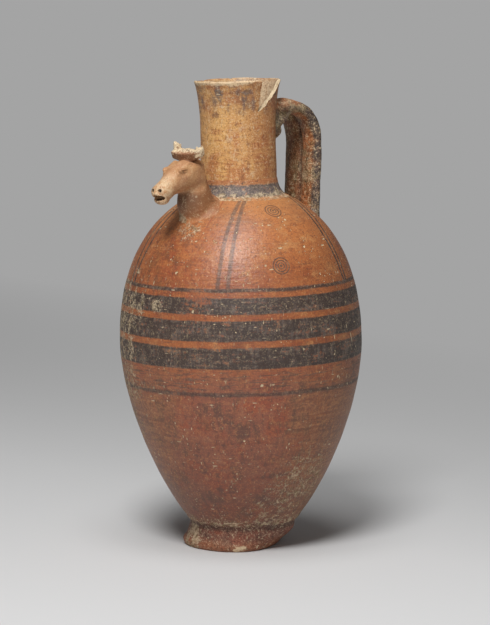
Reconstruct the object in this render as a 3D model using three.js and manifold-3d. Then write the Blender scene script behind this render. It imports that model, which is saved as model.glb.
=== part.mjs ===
// A hand-made terracotta jug: an egg-shaped body on a ring foot, a tall neck with a broken lip,
// a handle of two clay rolls, and a pouring spout shaped as an animal's head.
// Millimetres. The ground is z = 0, the handle stands at +X and the spout points about to -X.
// The left side is the animal's own left, -Y.
import * as THREE from "three";
import { mergeVertices } from "three/addons/utils/BufferGeometryUtils.js";
import Module from "manifold-3d";

const wasm = await Module();
wasm.setup();

// Joints: the clay pieces are stuck together with slip, this thick.
const JOINT_GAP = 0.3;

// Foot: a ring that stands aside from the body's axis.
const FOOT_HEIGHT = 16.5;
const FOOT_REST_RADIUS = 30;
const FOOT_REST_WIDTH = 9;
const FOOT_FLANGE = 2.2;
const FOOT_FLANGE_HEIGHT = 3.5;
const FOOT_WAIST_INSET = 1.6;
const FOOT_WAIST_HEIGHT = 10.5;
const FOOT_SHIFT = 4.5;

// Lean: everything above the foot leans towards this heading, counted from +X towards +Y.
const LEAN_DEGREES = 0.85;
const LEAN_HEADING = 142;

// Body: heights are counted from the joint with the foot, slopes from the horizontal.
const BASE_RADIUS = 34;
const BASE_SLOPE = 49.5;
const BASE_REACH = 33;
const BASE_SAG = 6;
const BASE_FLAT_RADIUS = 18;
const BELLY_RADIUS = 76.5;
const BELLY_RISE = 115.5;
const BELLY_REACH_DOWN = 37;
const BELLY_REACH_UP = 55;
const SHOULDER_RISE = 92;
const SHOULDER_SLOPE = 22.8;
const SHOULDER_REACH = 25.6;
const SEAT_MARGIN = 3.8;
const BODY_WALL = 5;
const FLOOR_THICKNESS = 7;

// Neck: heights are counted from its seat on the body.
const NECK_LENGTH = 72;
const NECK_BASE_RADIUS = 24.2;
const NECK_TAPER = 0.5;
const NECK_WAIST_RISE = 34;
const NECK_WAIST_REACH = 17;
const NECK_WALL = 3.8;
const LIP_FLARE = 3.7;
const LIP_SLOPE = 73;
const LIP_REACH = 9.4;

// Missing piece of the lip: its middle as a heading, its width and its depth.
const NOTCH_HEADING = -68;
const NOTCH_WIDTH = 23;
const NOTCH_DEPTH = 20;

// Collar: the coil that covers the joint of the neck and the shoulder.
const COLLAR_RISE = 10;
const COLLAR_SPREAD = 7.8;
const COLLAR_EDGE = 0.7;

// Handle: two flattened rolls side by side.
const ROLL_WIDTH = 16.4;
const ROLL_THICKNESS = 9;
const FINGER_GAP = 24.8;
const HANDLE_TUCK = 2.5;
const HANDLE_BELOW_LIP = 17.3;
const HANDLE_BEND_RADIUS = 21;
const HANDLE_ROOT_DEPTH = 8;
const HANDLE_ROOT_DROP = 0.7;
const WAD_PAST_BEND = 8.5;
const WAD_PRESS = 0.8;
const WAD_HEIGHT = 14.5;
const WAD_WIDTH = 29;
const WAD_EDGE = 2;

// Spout: how far it is turned about the vessel's axis from a place right across from the handle.
const SPOUT_TURN = 10;

// Throat: the spout's stem, which tilts outwards from the shoulder.
const THROAT_SETOFF = 14.3;
const THROAT_BASE_RADIUS = 12;
const THROAT_TOP_RADIUS = 9.2;
const THROAT_LENGTH = 26;
const THROAT_ROOT_DEPTH = 12;
const THROAT_TILT = 16;
const FLARE_RADIUS = 19;
const FLARE_RISE = 7;
const FLARE_DROP = 6;
const FLARE_BEND = 3;
const FLARE_EDGE = 0.7;

// Head: its length, how far its back lies behind the throat's top, how far the muzzle's tip
// hangs below it, its largest depths to the crown and to the jaw, and its width. The nape is a
// ball below the throat's top that closes over the throat.
const HEAD_LENGTH = 37.9;
const HEAD_BACK = 8.6;
const HEAD_DROP = 15.8;
const CROWN_DEPTH = 7.8;
const JAW_DEPTH = 11.8;
const HEAD_WIDTH = 18.8;
const NAPE_DROP = 4;
const NAPE_MARGIN = 1;

// The head's form from the back of the skull to the tip of the muzzle, as shares of these sizes.
const HEAD_STATIONS = [
  { along: 0.000, drop: 0.019, crown: 0.32, jaw: 0.34, width: 0.43 },
  { along: 0.053, drop: 0.006, crown: 0.58, jaw: 0.59, width: 0.70 },
  { along: 0.198, drop: 0.032, crown: 0.69, jaw: 0.83, width: 0.94 },
  { along: 0.396, drop: 0.196, crown: 1.00, jaw: 1.00, width: 1.00 },
  { along: 0.575, drop: 0.437, crown: 0.95, jaw: 0.78, width: 0.85 },
  { along: 0.726, drop: 0.658, crown: 0.81, jaw: 0.56, width: 0.69 },
  { along: 0.855, drop: 0.842, crown: 0.82, jaw: 0.53, width: 0.67 },
  { along: 0.947, drop: 0.949, crown: 0.72, jaw: 0.45, width: 0.60 },
  { along: 1.000, drop: 1.000, crown: 0.40, jaw: 0.27, width: 0.36 },
];

// Channel: liquid rises through the throat and leaves by the mouth.
const THROAT_BORE_RADIUS = 6;
const MOUTH_WIDTH = 9;
const MOUTH_HEIGHT = 5;
const MOUTH_LENGTH = 7;
const GULLET_RADIUS = 3;
const GULLET_START = 0.4;
const GULLET_END = 0.92;

// Ears: one roll laid across the top of the skull, with its pinched ends turned up.
const EAR_SPAN = 25.6;
const EAR_RADIUS = 3;
const EAR_TIP_RADIUS = 1.6;
const EAR_LIFT = 1.8;
const EAR_OUT = 0.6;
const EAR_UP = 7.2;

// Horns: two stumps with their ends broken off.
const HORN_SPACING = 17.6;
const HORN_RADIUS = 2.6;
const HORN_TIP_RADIUS = 1.9;
const HORN_RISE = 4;

// Eyes: flat pellets on both sides of the head.
const EYE_STATION = 0.42;
const EYE_UP = 3.6;
const EYE_LENGTH = 6.6;
const EYE_HEIGHT = 3.8;
const EYE_THICKNESS = 2.6;

// Clays: the colour and roughness of each surface.
const RED_SLIP = { color: "#9b5a3c", roughness: 0.6 };
const OCHRE_SLIP = { color: "#b98150", roughness: 0.65 };
const BROWN_SLIP = { color: "#9a6242", roughness: 0.65 };
const DARK_PAINT = { color: "#5d4a40", roughness: 0.65 };
const TAN_CLAY = { color: "#bf9676", roughness: 0.75 };
const PALE_CLAY = { color: "#c2a58c", roughness: 0.8 };

// Facets of the round pieces.
const VESSEL_SEGMENTS = 40;
const SPOUT_SEGMENTS = 20;
const ROLL_SEGMENTS = 14;
const ROLL_STEPS = 26;
const HEAD_STEPS = 18;
const CURVE_STEPS = 9;
const LIP_STEPS = 3;
const MERGE_TOLERANCE = 1e-4;

// Heights that follow from the sizes above, on the upright vessel.
const baseHeight = FOOT_HEIGHT;
const bellyHeight = baseHeight + BELLY_RISE;
const seatHeight = bellyHeight + SHOULDER_RISE;
const lipHeight = seatHeight + NECK_LENGTH;
const floorHeight = baseHeight - BASE_SAG + FLOOR_THICKNESS;

// Radii and reaches that follow: the spout, the collar and the handle stand off from the neck.
const openingRadius = NECK_BASE_RADIUS - NECK_WALL;
const seatRadius = NECK_BASE_RADIUS + SEAT_MARGIN;
const collarRadius = NECK_BASE_RADIUS + COLLAR_SPREAD;
const throatReach = NECK_BASE_RADIUS + THROAT_SETOFF;
const neckWaistRadius = NECK_BASE_RADIUS - NECK_TAPER;
const lipRadius = neckWaistRadius + LIP_FLARE;
const handleReach = neckWaistRadius + FINGER_GAP + ROLL_THICKNESS / 2;
const handleFootReach = handleReach - HANDLE_TUCK;
const footBoreRadius = FOOT_REST_RADIUS - FOOT_REST_WIDTH;

const radians = THREE.MathUtils.degToRad;

// Unit vector on the ground at a heading from +X.
function toward(heading) {
  return new THREE.Vector3(Math.cos(radians(heading)), Math.sin(radians(heading)), 0);
}

// Turns a closed three.js geometry into a solid that can be cut and joined.
function solid(geometry) {
  const bare = geometry.clone();
  bare.deleteAttribute("normal");
  bare.deleteAttribute("uv");
  const merged = mergeVertices(bare, MERGE_TOLERANCE);
  const corners = merged.index.array;
  const triangles = [];
  for (let i = 0; i < corners.length; i += 3) {
    const [a, b, c] = [corners[i], corners[i + 1], corners[i + 2]];
    if (a !== b && b !== c && c !== a) {
      triangles.push(a, b, c);
    }
  }
  return new wasm.Manifold(new wasm.Mesh({
    numProp: 3,
    vertProperties: merged.attributes.position.array,
    triVerts: new Uint32Array(triangles),
  }));
}

// Names a solid and gives it the material of its clay.
function piece(name, shape, clay) {
  const mesh = shape.getMesh();
  const geometry = new THREE.BufferGeometry();
  geometry.setAttribute("position", new THREE.BufferAttribute(mesh.vertProperties, 3));
  geometry.setIndex(new THREE.BufferAttribute(mesh.triVerts, 1));
  geometry.computeVertexNormals();
  const material = new THREE.MeshStandardMaterial({ ...clay, metalness: 0 });
  const result = new THREE.Mesh(geometry, material);
  result.name = name;
  return result;
}

// A profile of (radius, height) points turned about the vertical axis.
function turned(profile, segments) {
  return solid(new THREE.LatheGeometry(profile, segments).rotateX(Math.PI / 2));
}

// A skin over rings of points, each with as many points as the others. The two ends are closed,
// or the last ring joins the first where the rings go round in a loop.
function loft(rings, loop = false) {
  const count = rings[0].length;
  const points = rings.flat();
  const faces = [];
  const spans = loop ? rings.length : rings.length - 1;
  for (let i = 0; i < spans; i += 1) {
    const here = i * count;
    const there = ((i + 1) % rings.length) * count;
    for (let j = 0; j < count; j += 1) {
      const next = (j + 1) % count;
      faces.push(here + j, here + next, there + j);
      faces.push(here + next, there + next, there + j);
    }
  }
  if (!loop) {
    const last = (rings.length - 1) * count;
    for (let j = 1; j < count - 1; j += 1) {
      faces.push(0, j + 1, j);
      faces.push(last, last + j, last + j + 1);
    }
  }
  const geometry = new THREE.BufferGeometry().setFromPoints(points);
  geometry.setIndex(faces);
  return solid(geometry);
}

// A ring of points round a centre, from two half axes.
function ring(center, right, up, count) {
  return Array.from({ length: count }, (_, i) => {
    const angle = (2 * Math.PI * i) / count;
    return center.clone().addScaledVector(right, Math.cos(angle)).addScaledVector(up, Math.sin(angle));
  });
}

// A straight round bar between two points.
function bar(start, end, radius) {
  const along = end.clone().sub(start);
  const geometry = new THREE.CylinderGeometry(radius, radius, along.length(), SPOUT_SEGMENTS);
  const turn = new THREE.Quaternion().setFromUnitVectors(
    new THREE.Vector3(0, 1, 0),
    along.clone().normalize(),
  );
  geometry.applyQuaternion(turn);
  const middle = start.clone().add(end).multiplyScalar(0.5);
  geometry.translate(middle.x, middle.y, middle.z);
  return solid(geometry);
}

// Moves each point of an outline to its left by a distance.
function offset(points, distance) {
  return points.map((point, i) => {
    const before = points[Math.max(i - 1, 0)];
    const after = points[Math.min(i + 1, points.length - 1)];
    const along = after.clone().sub(before).normalize();
    return new THREE.Vector2(point.x - along.y * distance, point.y + along.x * distance);
  });
}

// The value of one coordinate where an outline passes a value of the other one.
function readOutline(points, key, value, wanted) {
  for (let i = points.length - 1; i > 0; i -= 1) {
    const [low, high] = [points[i - 1], points[i]];
    const share = (value - low[key]) / (high[key] - low[key]);
    if (share >= 0 && share <= 1) {
      return low[wanted] + share * (high[wanted] - low[wanted]);
    }
  }
  return points[0][wanted];
}

const point = (radius, height) => new THREE.Vector2(radius, height);

// Outer outline of the body, from the foot to the neck's seat.
function bodyOutline() {
  const base = radians(BASE_SLOPE);
  const shoulder = radians(SHOULDER_SLOPE);
  const path = new THREE.Path();
  path.moveTo(BASE_RADIUS, baseHeight);
  path.bezierCurveTo(
    BASE_RADIUS + BASE_REACH * Math.cos(base), baseHeight + BASE_REACH * Math.sin(base),
    BELLY_RADIUS, bellyHeight - BELLY_REACH_DOWN,
    BELLY_RADIUS, bellyHeight,
  );
  path.bezierCurveTo(
    BELLY_RADIUS, bellyHeight + BELLY_REACH_UP,
    seatRadius + SHOULDER_REACH * Math.cos(shoulder), seatHeight - SHOULDER_REACH * Math.sin(shoulder),
    seatRadius, seatHeight,
  );
  return path.getPoints(CURVE_STEPS);
}

// Outer outline of the neck, from its seat to the round of the lip.
function neckOutline() {
  const flare = radians(LIP_SLOPE);
  const start = seatHeight + JOINT_GAP;
  const waist = seatHeight + NECK_WAIST_RISE;
  const top = lipHeight - NECK_WALL / 2;
  const path = new THREE.Path();
  path.moveTo(NECK_BASE_RADIUS, start);
  path.lineTo(neckWaistRadius, waist);
  path.bezierCurveTo(
    neckWaistRadius, waist + NECK_WAIST_REACH,
    lipRadius - LIP_REACH * Math.cos(flare), top - LIP_REACH * Math.sin(flare),
    lipRadius, top,
  );
  return path.getPoints(CURVE_STEPS);
}

const bodyWall = bodyOutline();
const neckWall = neckOutline();
const shoulderHeightAt = (radius) => readOutline(bodyWall, "x", radius, "y");
const neckRadiusAt = (height) => readOutline(neckWall, "y", height, "x");

// The body as a solid without its hollow, grown on every side.
function bodyEnvelope(grow) {
  const wall = offset(bodyWall, -grow);
  const bottom = wall[0].y;
  const top = wall[wall.length - 1].y + grow;
  return turned([point(0, bottom), ...wall, point(seatRadius, top), point(0, top)], VESSEL_SEGMENTS);
}

// The neck as a solid without its bore, grown outwards.
function neckEnvelope(grow) {
  const wall = offset(neckWall, -grow);
  const bottom = wall[0].y;
  const top = wall[wall.length - 1].y;
  return turned([point(0, bottom), ...wall, point(0, top)], VESSEL_SEGMENTS);
}

function makeBody(channel) {
  const inside = offset(bodyWall, BODY_WALL);
  const corner = inside[0];
  const floorRadius = corner.x - (corner.y - floorHeight) / Math.tan(radians(BASE_SLOPE));
  const floor = new THREE.Path();
  floor.moveTo(corner.x, corner.y);
  floor.quadraticCurveTo(floorRadius, floorHeight, 0, floorHeight);
  const profile = [
    point(0, baseHeight - BASE_SAG),
    point(BASE_FLAT_RADIUS, baseHeight - BASE_SAG),
    ...bodyWall,
    point(openingRadius, seatHeight),
    point(openingRadius, inside[inside.length - 1].y),
    ...inside.reverse().slice(0, -1),
    ...floor.getPoints(CURVE_STEPS),
  ];
  return turned(profile, VESSEL_SEGMENTS).subtract(channel);
}

// The triangular gap in the lip: one edge stands upright and the other one slants.
function lipNotch() {
  const half = NOTCH_WIDTH / 2;
  const above = NECK_WALL;
  const shape = new THREE.Shape();
  shape.moveTo(-half, above);
  shape.lineTo(-half, -NOTCH_DEPTH);
  shape.lineTo(half, 0);
  shape.lineTo(half, above);
  shape.closePath();
  const geometry = new THREE.ExtrudeGeometry(shape, { depth: lipRadius + NECK_WALL, bevelEnabled: false });
  geometry.rotateX(Math.PI / 2).rotateZ(radians(NOTCH_HEADING + 90));
  geometry.translate(0, 0, lipHeight);
  return solid(geometry);
}

function makeNeck() {
  const inside = offset(neckWall, NECK_WALL).reverse();
  const outerEnd = neckWall[neckWall.length - 1];
  const lip = new THREE.Path();
  lip.absarc(outerEnd.x - NECK_WALL / 2, outerEnd.y, NECK_WALL / 2, 0, Math.PI);
  const round = lip.getPoints(LIP_STEPS).slice(1, -1);
  const profile = [...neckWall, ...round, ...inside, neckWall[0]];
  return turned(profile, VESSEL_SEGMENTS).subtract(lipNotch());
}

function makeCollar() {
  const top = seatHeight + COLLAR_RISE;
  const inner = neckRadiusAt(top) + JOINT_GAP;
  const foot = NECK_BASE_RADIUS + JOINT_GAP;
  const covered = (p) => p.y > bellyHeight && p.x > seatRadius && p.x < collarRadius;
  const shoulder = offset(bodyWall, -JOINT_GAP).filter(covered);
  const edge = shoulderHeightAt(collarRadius) + JOINT_GAP;
  const path = new THREE.Path();
  path.moveTo(collarRadius, edge);
  path.lineTo(collarRadius, edge + COLLAR_EDGE);
  path.quadraticCurveTo(foot + COLLAR_EDGE, seatHeight + COLLAR_EDGE, inner + COLLAR_EDGE, top);
  path.lineTo(inner, top);
  const profile = [
    ...path.getPoints(CURVE_STEPS),
    point(foot, seatHeight + JOINT_GAP),
    point(seatRadius, seatHeight + JOINT_GAP),
    ...shoulder.reverse(),
    point(collarRadius, edge),
  ];
  return turned(profile, VESSEL_SEGMENTS);
}

// The foot stands flat on the ground, and its top follows the leaning body.
function makeFoot(lean) {
  const axis = new THREE.Vector3(0, 0, 1);
  const rest = toward(LEAN_HEADING).multiplyScalar(FOOT_SHIFT);
  const circle = (radius, height) => ring(
    axis.clone().multiplyScalar(height),
    new THREE.Vector3(radius, 0, 0),
    new THREE.Vector3(0, radius, 0),
    VESSEL_SEGMENTS,
  );
  const aside = (radius, height, share) => circle(radius, height).map((p) => p.addScaledVector(rest, share));
  const leaning = (radius, height) => circle(radius, height).map((p) => p.applyMatrix4(lean));
  const rise = BASE_SAG / (BASE_RADIUS - BASE_FLAT_RADIUS);
  const boreTop = baseHeight - (BASE_RADIUS - footBoreRadius) * rise;
  return loft([
    aside(footBoreRadius, 0, 1),
    aside(FOOT_REST_RADIUS, 0, 1),
    aside(FOOT_REST_RADIUS + FOOT_FLANGE, FOOT_FLANGE_HEIGHT, 1),
    aside(BASE_RADIUS - FOOT_WAIST_INSET, FOOT_WAIST_HEIGHT, 1 - FOOT_WAIST_HEIGHT / FOOT_HEIGHT),
    leaning(BASE_RADIUS, baseHeight - JOINT_GAP),
    leaning(footBoreRadius, boreTop - JOINT_GAP),
  ], true);
}

// Middle line of one handle roll: out from the neck, round the bend and down to the shoulder.
function handleLine(side) {
  const arch = lipHeight - HANDLE_BELOW_LIP;
  const bend = Math.PI / 4;
  const footHeight = shoulderHeightAt(handleFootReach) - HANDLE_ROOT_DEPTH;
  const at = (reach, height) => new THREE.Vector3(reach, side * (ROLL_WIDTH + JOINT_GAP) / 2, height);
  const inset = HANDLE_BEND_RADIUS * (1 - Math.cos(bend));
  return new THREE.CatmullRomCurve3([
    at(neckRadiusAt(arch) - HANDLE_ROOT_DEPTH, arch - HANDLE_ROOT_DROP),
    at(handleReach - HANDLE_BEND_RADIUS, arch),
    at(handleReach - inset, arch - inset),
    at(handleReach, arch - HANDLE_BEND_RADIUS),
    at(handleFootReach, footHeight),
  ]);
}

function handleRoll(side, grow) {
  const section = new THREE.Shape();
  section.absellipse(0, 0, ROLL_WIDTH / 2 + grow, ROLL_THICKNESS / 2 + grow, 0, 2 * Math.PI);
  return solid(new THREE.ExtrudeGeometry(section, {
    curveSegments: ROLL_SEGMENTS / 2,
    steps: ROLL_STEPS,
    extrudePath: handleLine(side),
  }));
}

// The lump of clay pressed into the corner under the handle, against the neck.
function makeWad() {
  const arch = lipHeight - HANDLE_BELOW_LIP;
  const under = arch - ROLL_THICKNESS / 2;
  const top = under + WAD_PRESS;
  const bottom = under - WAD_HEIGHT;
  const wall = neckRadiusAt(arch);
  const end = handleReach - HANDLE_BEND_RADIUS + WAD_PAST_BEND;
  const shape = new THREE.Shape();
  shape.moveTo(0, top);
  shape.lineTo(0, bottom);
  shape.lineTo(wall + WAD_EDGE, bottom);
  shape.quadraticCurveTo(wall + WAD_EDGE, (bottom + under) / 2, end, under);
  shape.lineTo(end, top);
  shape.closePath();
  const geometry = new THREE.ExtrudeGeometry(shape, {
    depth: WAD_WIDTH,
    bevelEnabled: false,
    curveSegments: CURVE_STEPS,
  });
  geometry.translate(0, 0, -WAD_WIDTH / 2);
  geometry.rotateX(Math.PI / 2);
  return solid(geometry);
}

// Throat: its lower end lies on the shoulder's surface at the throat's reach.
const throatBase = new THREE.Vector3(-throatReach, 0, shoulderHeightAt(throatReach));
const throatAxis = new THREE.Vector3(-Math.sin(radians(THROAT_TILT)), 0, Math.cos(radians(THROAT_TILT)));
const throatTop = throatBase.clone().addScaledVector(throatAxis, THROAT_LENGTH);
const napeMiddle = throatTop.clone().addScaledVector(throatAxis, -NAPE_DROP);

// A profile turned about the throat's axis, with its heights counted from the throat's base.
function turnedOnThroat(profile) {
  const geometry = new THREE.LatheGeometry(profile, SPOUT_SEGMENTS).rotateX(Math.PI / 2);
  geometry.rotateY(-radians(THROAT_TILT));
  geometry.translate(throatBase.x, throatBase.y, throatBase.z);
  return solid(geometry);
}

function throatBlank(grow) {
  return turnedOnThroat([
    point(0, -THROAT_ROOT_DEPTH),
    point(THROAT_BASE_RADIUS + grow, -THROAT_ROOT_DEPTH),
    point(THROAT_BASE_RADIUS + grow, 0),
    point(THROAT_TOP_RADIUS + grow, THROAT_LENGTH - NAPE_DROP),
    point(0, THROAT_LENGTH - NAPE_DROP),
  ]);
}

// The coil smoothed round the throat's joint, thick at the shoulder and thin at its top.
function flareBlank(grow) {
  const stem = THROAT_BASE_RADIUS + FLARE_EDGE;
  const path = new THREE.Path();
  path.moveTo(FLARE_RADIUS, -THROAT_ROOT_DEPTH);
  path.lineTo(FLARE_RADIUS, -FLARE_DROP);
  path.quadraticCurveTo(stem, -FLARE_BEND, stem, FLARE_RISE);
  const wall = offset(path.getPoints(CURVE_STEPS), -grow);
  return turnedOnThroat([point(0, -THROAT_ROOT_DEPTH), ...wall, point(0, FLARE_RISE)]);
}

// Middle line and half sizes of the head, both counted along the same stations.
const headLine = new THREE.CatmullRomCurve3(HEAD_STATIONS.map(
  ({ along, drop }) => new THREE.Vector3(
    throatTop.x + HEAD_BACK - along * HEAD_LENGTH,
    0,
    throatTop.z - drop * HEAD_DROP,
  ),
));
const headSizes = new THREE.CatmullRomCurve3(HEAD_STATIONS.map(
  ({ crown, jaw, width }) => new THREE.Vector3(
    crown * CROWN_DEPTH,
    jaw * JAW_DEPTH,
    width * HEAD_WIDTH / 2,
  ),
));

function headBlank(grow) {
  const rings = [];
  for (let i = 0; i <= HEAD_STEPS; i += 1) {
    const share = i / HEAD_STEPS;
    const along = headLine.getTangent(share);
    const size = headSizes.getPoint(share);
    const end = i === 0 ? -grow : i === HEAD_STEPS ? grow : 0;
    const center = headLine.getPoint(share).addScaledVector(along, end);
    const rise = new THREE.Vector3(along.z, 0, -along.x);
    const side = new THREE.Vector3(0, size.z + grow, 0);
    const crown = ring(center, rise.clone().multiplyScalar(size.x + grow), side, SPOUT_SEGMENTS);
    const jaw = ring(center, rise.clone().multiplyScalar(size.y + grow), side, SPOUT_SEGMENTS);
    rings.push(crown.map((p, j) => (p.clone().sub(center).dot(rise) > 0 ? p : jaw[j])));
  }
  const nape = new THREE.SphereGeometry(THROAT_TOP_RADIUS + NAPE_MARGIN + grow, SPOUT_SEGMENTS, SPOUT_SEGMENTS);
  nape.translate(napeMiddle.x, napeMiddle.y, napeMiddle.z);
  return loft(rings).add(solid(nape));
}

// The way of the liquid: up the throat, down the gullet and out of the mouth.
function makeChannel() {
  const tip = headLine.getPoint(1);
  const bottom = throatBase.clone().addScaledVector(throatAxis, -2 * THROAT_ROOT_DEPTH);
  const way = [napeMiddle];
  for (let i = 0; i <= CURVE_STEPS; i += 1) {
    way.push(headLine.getPoint(THREE.MathUtils.lerp(GULLET_START, GULLET_END, i / CURVE_STEPS)));
  }
  const section = new THREE.Shape();
  section.absarc(0, 0, GULLET_RADIUS, 0, 2 * Math.PI);
  const gullet = new THREE.ExtrudeGeometry(section, {
    curveSegments: ROLL_SEGMENTS / 2,
    steps: HEAD_STEPS,
    extrudePath: new THREE.CatmullRomCurve3(way),
  });
  const lips = new THREE.Shape();
  const corner = MOUTH_HEIGHT / 2;
  const aside = MOUTH_WIDTH / 2 - corner;
  lips.absarc(aside, 0, corner, -Math.PI / 2, Math.PI / 2);
  lips.absarc(-aside, 0, corner, Math.PI / 2, 1.5 * Math.PI);
  const mouth = new THREE.ExtrudeGeometry(lips, {
    depth: 2 * MOUTH_LENGTH,
    bevelEnabled: false,
    curveSegments: ROLL_SEGMENTS / 2,
  });
  mouth.rotateX(Math.PI / 2);
  mouth.rotateZ(Math.PI / 2);
  mouth.translate(tip.x - MOUTH_LENGTH, 0, tip.z);
  return bar(bottom, napeMiddle, THROAT_BORE_RADIUS).add(solid(gullet)).add(solid(mouth));
}

// Place of the ear roll's middle, on the skull above the throat.
const earMiddle = new THREE.Vector3(throatTop.x - EAR_OUT, 0, throatTop.z + EAR_UP);
const earLiftAt = (share) => EAR_LIFT * share * share;

function earBlank(grow) {
  const rings = [];
  for (let i = 0; i <= ROLL_SEGMENTS; i += 1) {
    const share = (2 * i) / ROLL_SEGMENTS - 1;
    const radius = THREE.MathUtils.lerp(EAR_RADIUS, EAR_TIP_RADIUS, share ** 4) + grow;
    const center = earMiddle.clone();
    center.y += share * (EAR_SPAN / 2 + grow);
    center.z += earLiftAt(share);
    rings.push(ring(center, new THREE.Vector3(0, 0, radius), new THREE.Vector3(radius, 0, 0), ROLL_SEGMENTS));
  }
  return loft(rings);
}

function hornBlank(side) {
  const share = HORN_SPACING / EAR_SPAN;
  const root = earMiddle.clone();
  root.y += side * HORN_SPACING / 2;
  const height = EAR_RADIUS + HORN_RISE;
  const geometry = new THREE.CylinderGeometry(HORN_TIP_RADIUS, HORN_RADIUS, height, ROLL_SEGMENTS);
  geometry.rotateX(Math.PI / 2);
  geometry.translate(root.x, root.y, root.z + earLiftAt(share) + height / 2);
  return solid(geometry);
}

function eyeBlank(side) {
  const along = headLine.getTangent(EYE_STATION);
  const size = headSizes.getPoint(EYE_STATION);
  const geometry = new THREE.SphereGeometry(1, ROLL_SEGMENTS, ROLL_SEGMENTS / 2);
  geometry.scale(EYE_LENGTH / 2, EYE_THICKNESS / 2, EYE_HEIGHT / 2);
  const crown = new THREE.Vector3(along.z, 0, -along.x);
  const center = headLine.getPoint(EYE_STATION).addScaledVector(crown, EYE_UP);
  center.y = side * size.z * Math.sqrt(1 - (EYE_UP / size.x) ** 2);
  geometry.translate(center.x, center.y, center.z);
  return solid(geometry);
}

// The lean turns the vessel about the middle of its belly.
function leanMatrix() {
  const lean = toward(LEAN_HEADING);
  const axle = new THREE.Vector3(0, 0, 1).cross(lean);
  const pivot = new THREE.Matrix4().makeTranslation(0, 0, bellyHeight);
  const turn = new THREE.Matrix4().makeRotationAxis(axle, radians(LEAN_DEGREES));
  return pivot.multiply(turn).multiply(new THREE.Matrix4().makeTranslation(0, 0, -bellyHeight));
}

const LEFT = -1;
const RIGHT = 1;

// The spout is shaped in the plane y = 0, then turned to its own heading.
const onSpout = (shape) => shape.rotate([0, 0, SPOUT_TURN]);

const lean = leanMatrix();
const channel = onSpout(makeChannel());
const throatOutside = onSpout(throatBlank(JOINT_GAP));
const headOutside = onSpout(headBlank(JOINT_GAP));
const earOutside = onSpout(earBlank(JOINT_GAP));
const collar = makeCollar().subtract(onSpout(flareBlank(JOINT_GAP))).subtract(throatOutside);
const vesselOutside = bodyEnvelope(JOINT_GAP).add(neckEnvelope(JOINT_GAP));
const rollsOutside = handleRoll(LEFT, JOINT_GAP).add(handleRoll(RIGHT, JOINT_GAP));

const throat = onSpout(throatBlank(0)).subtract(vesselOutside).subtract(headOutside).subtract(channel);
const flare = onSpout(flareBlank(0)).subtract(vesselOutside).subtract(throatOutside).subtract(headOutside);
const head = onSpout(headBlank(0)).subtract(channel);
const ears = onSpout(earBlank(0)).subtract(headOutside);
const horn = (side) => onSpout(hornBlank(side)).subtract(earOutside).subtract(headOutside);
const eye = (side) => onSpout(eyeBlank(side)).subtract(headOutside);
const roll = (side) => handleRoll(side, 0).subtract(vesselOutside);

const vessel = new THREE.Group();
vessel.add(
  piece("body", makeBody(channel), RED_SLIP),
  piece("neck", makeNeck(), OCHRE_SLIP),
  piece("neck_collar", collar, DARK_PAINT),
  piece("spout_throat", throat, OCHRE_SLIP),
  piece("spout_collar", flare, OCHRE_SLIP),
  piece("animal_head", head, TAN_CLAY),
  piece("ear_roll", ears, TAN_CLAY),
  piece("horn_left", horn(LEFT), PALE_CLAY),
  piece("horn_right", horn(RIGHT), PALE_CLAY),
  piece("eye_left", eye(LEFT), TAN_CLAY),
  piece("eye_right", eye(RIGHT), TAN_CLAY),
  piece("handle_roll_left", roll(LEFT), BROWN_SLIP),
  piece("handle_roll_right", roll(RIGHT), BROWN_SLIP),
  piece("handle_wad", makeWad().subtract(vesselOutside).subtract(rollsOutside), BROWN_SLIP),
);
vessel.applyMatrix4(lean);

const jug = new THREE.Group();
jug.add(piece("foot", makeFoot(lean), BROWN_SLIP), vessel);

export default jug;
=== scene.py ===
"""Looks of a painted terracotta jug with an animal-head spout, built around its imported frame.

Shapes are worked out in millimetres in the upright vessel's own frame, then leant as one.
"""

import math

import bpy
import numpy as np
from mathutils import Matrix, Vector


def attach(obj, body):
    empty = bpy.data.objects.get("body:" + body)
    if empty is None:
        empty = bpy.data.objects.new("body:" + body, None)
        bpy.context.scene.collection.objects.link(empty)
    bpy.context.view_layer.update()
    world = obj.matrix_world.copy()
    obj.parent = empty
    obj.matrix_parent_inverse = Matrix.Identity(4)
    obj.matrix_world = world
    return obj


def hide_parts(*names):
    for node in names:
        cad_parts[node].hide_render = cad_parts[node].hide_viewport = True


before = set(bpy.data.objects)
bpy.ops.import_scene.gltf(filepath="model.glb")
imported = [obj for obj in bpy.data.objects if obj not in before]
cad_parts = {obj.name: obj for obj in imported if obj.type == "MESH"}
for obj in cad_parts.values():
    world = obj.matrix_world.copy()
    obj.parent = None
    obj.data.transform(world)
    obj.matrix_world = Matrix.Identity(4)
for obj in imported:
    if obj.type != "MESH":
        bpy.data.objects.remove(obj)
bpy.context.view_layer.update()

MM = 0.001
BODY = "root"
LEFT = -1
RIGHT = 1

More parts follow.
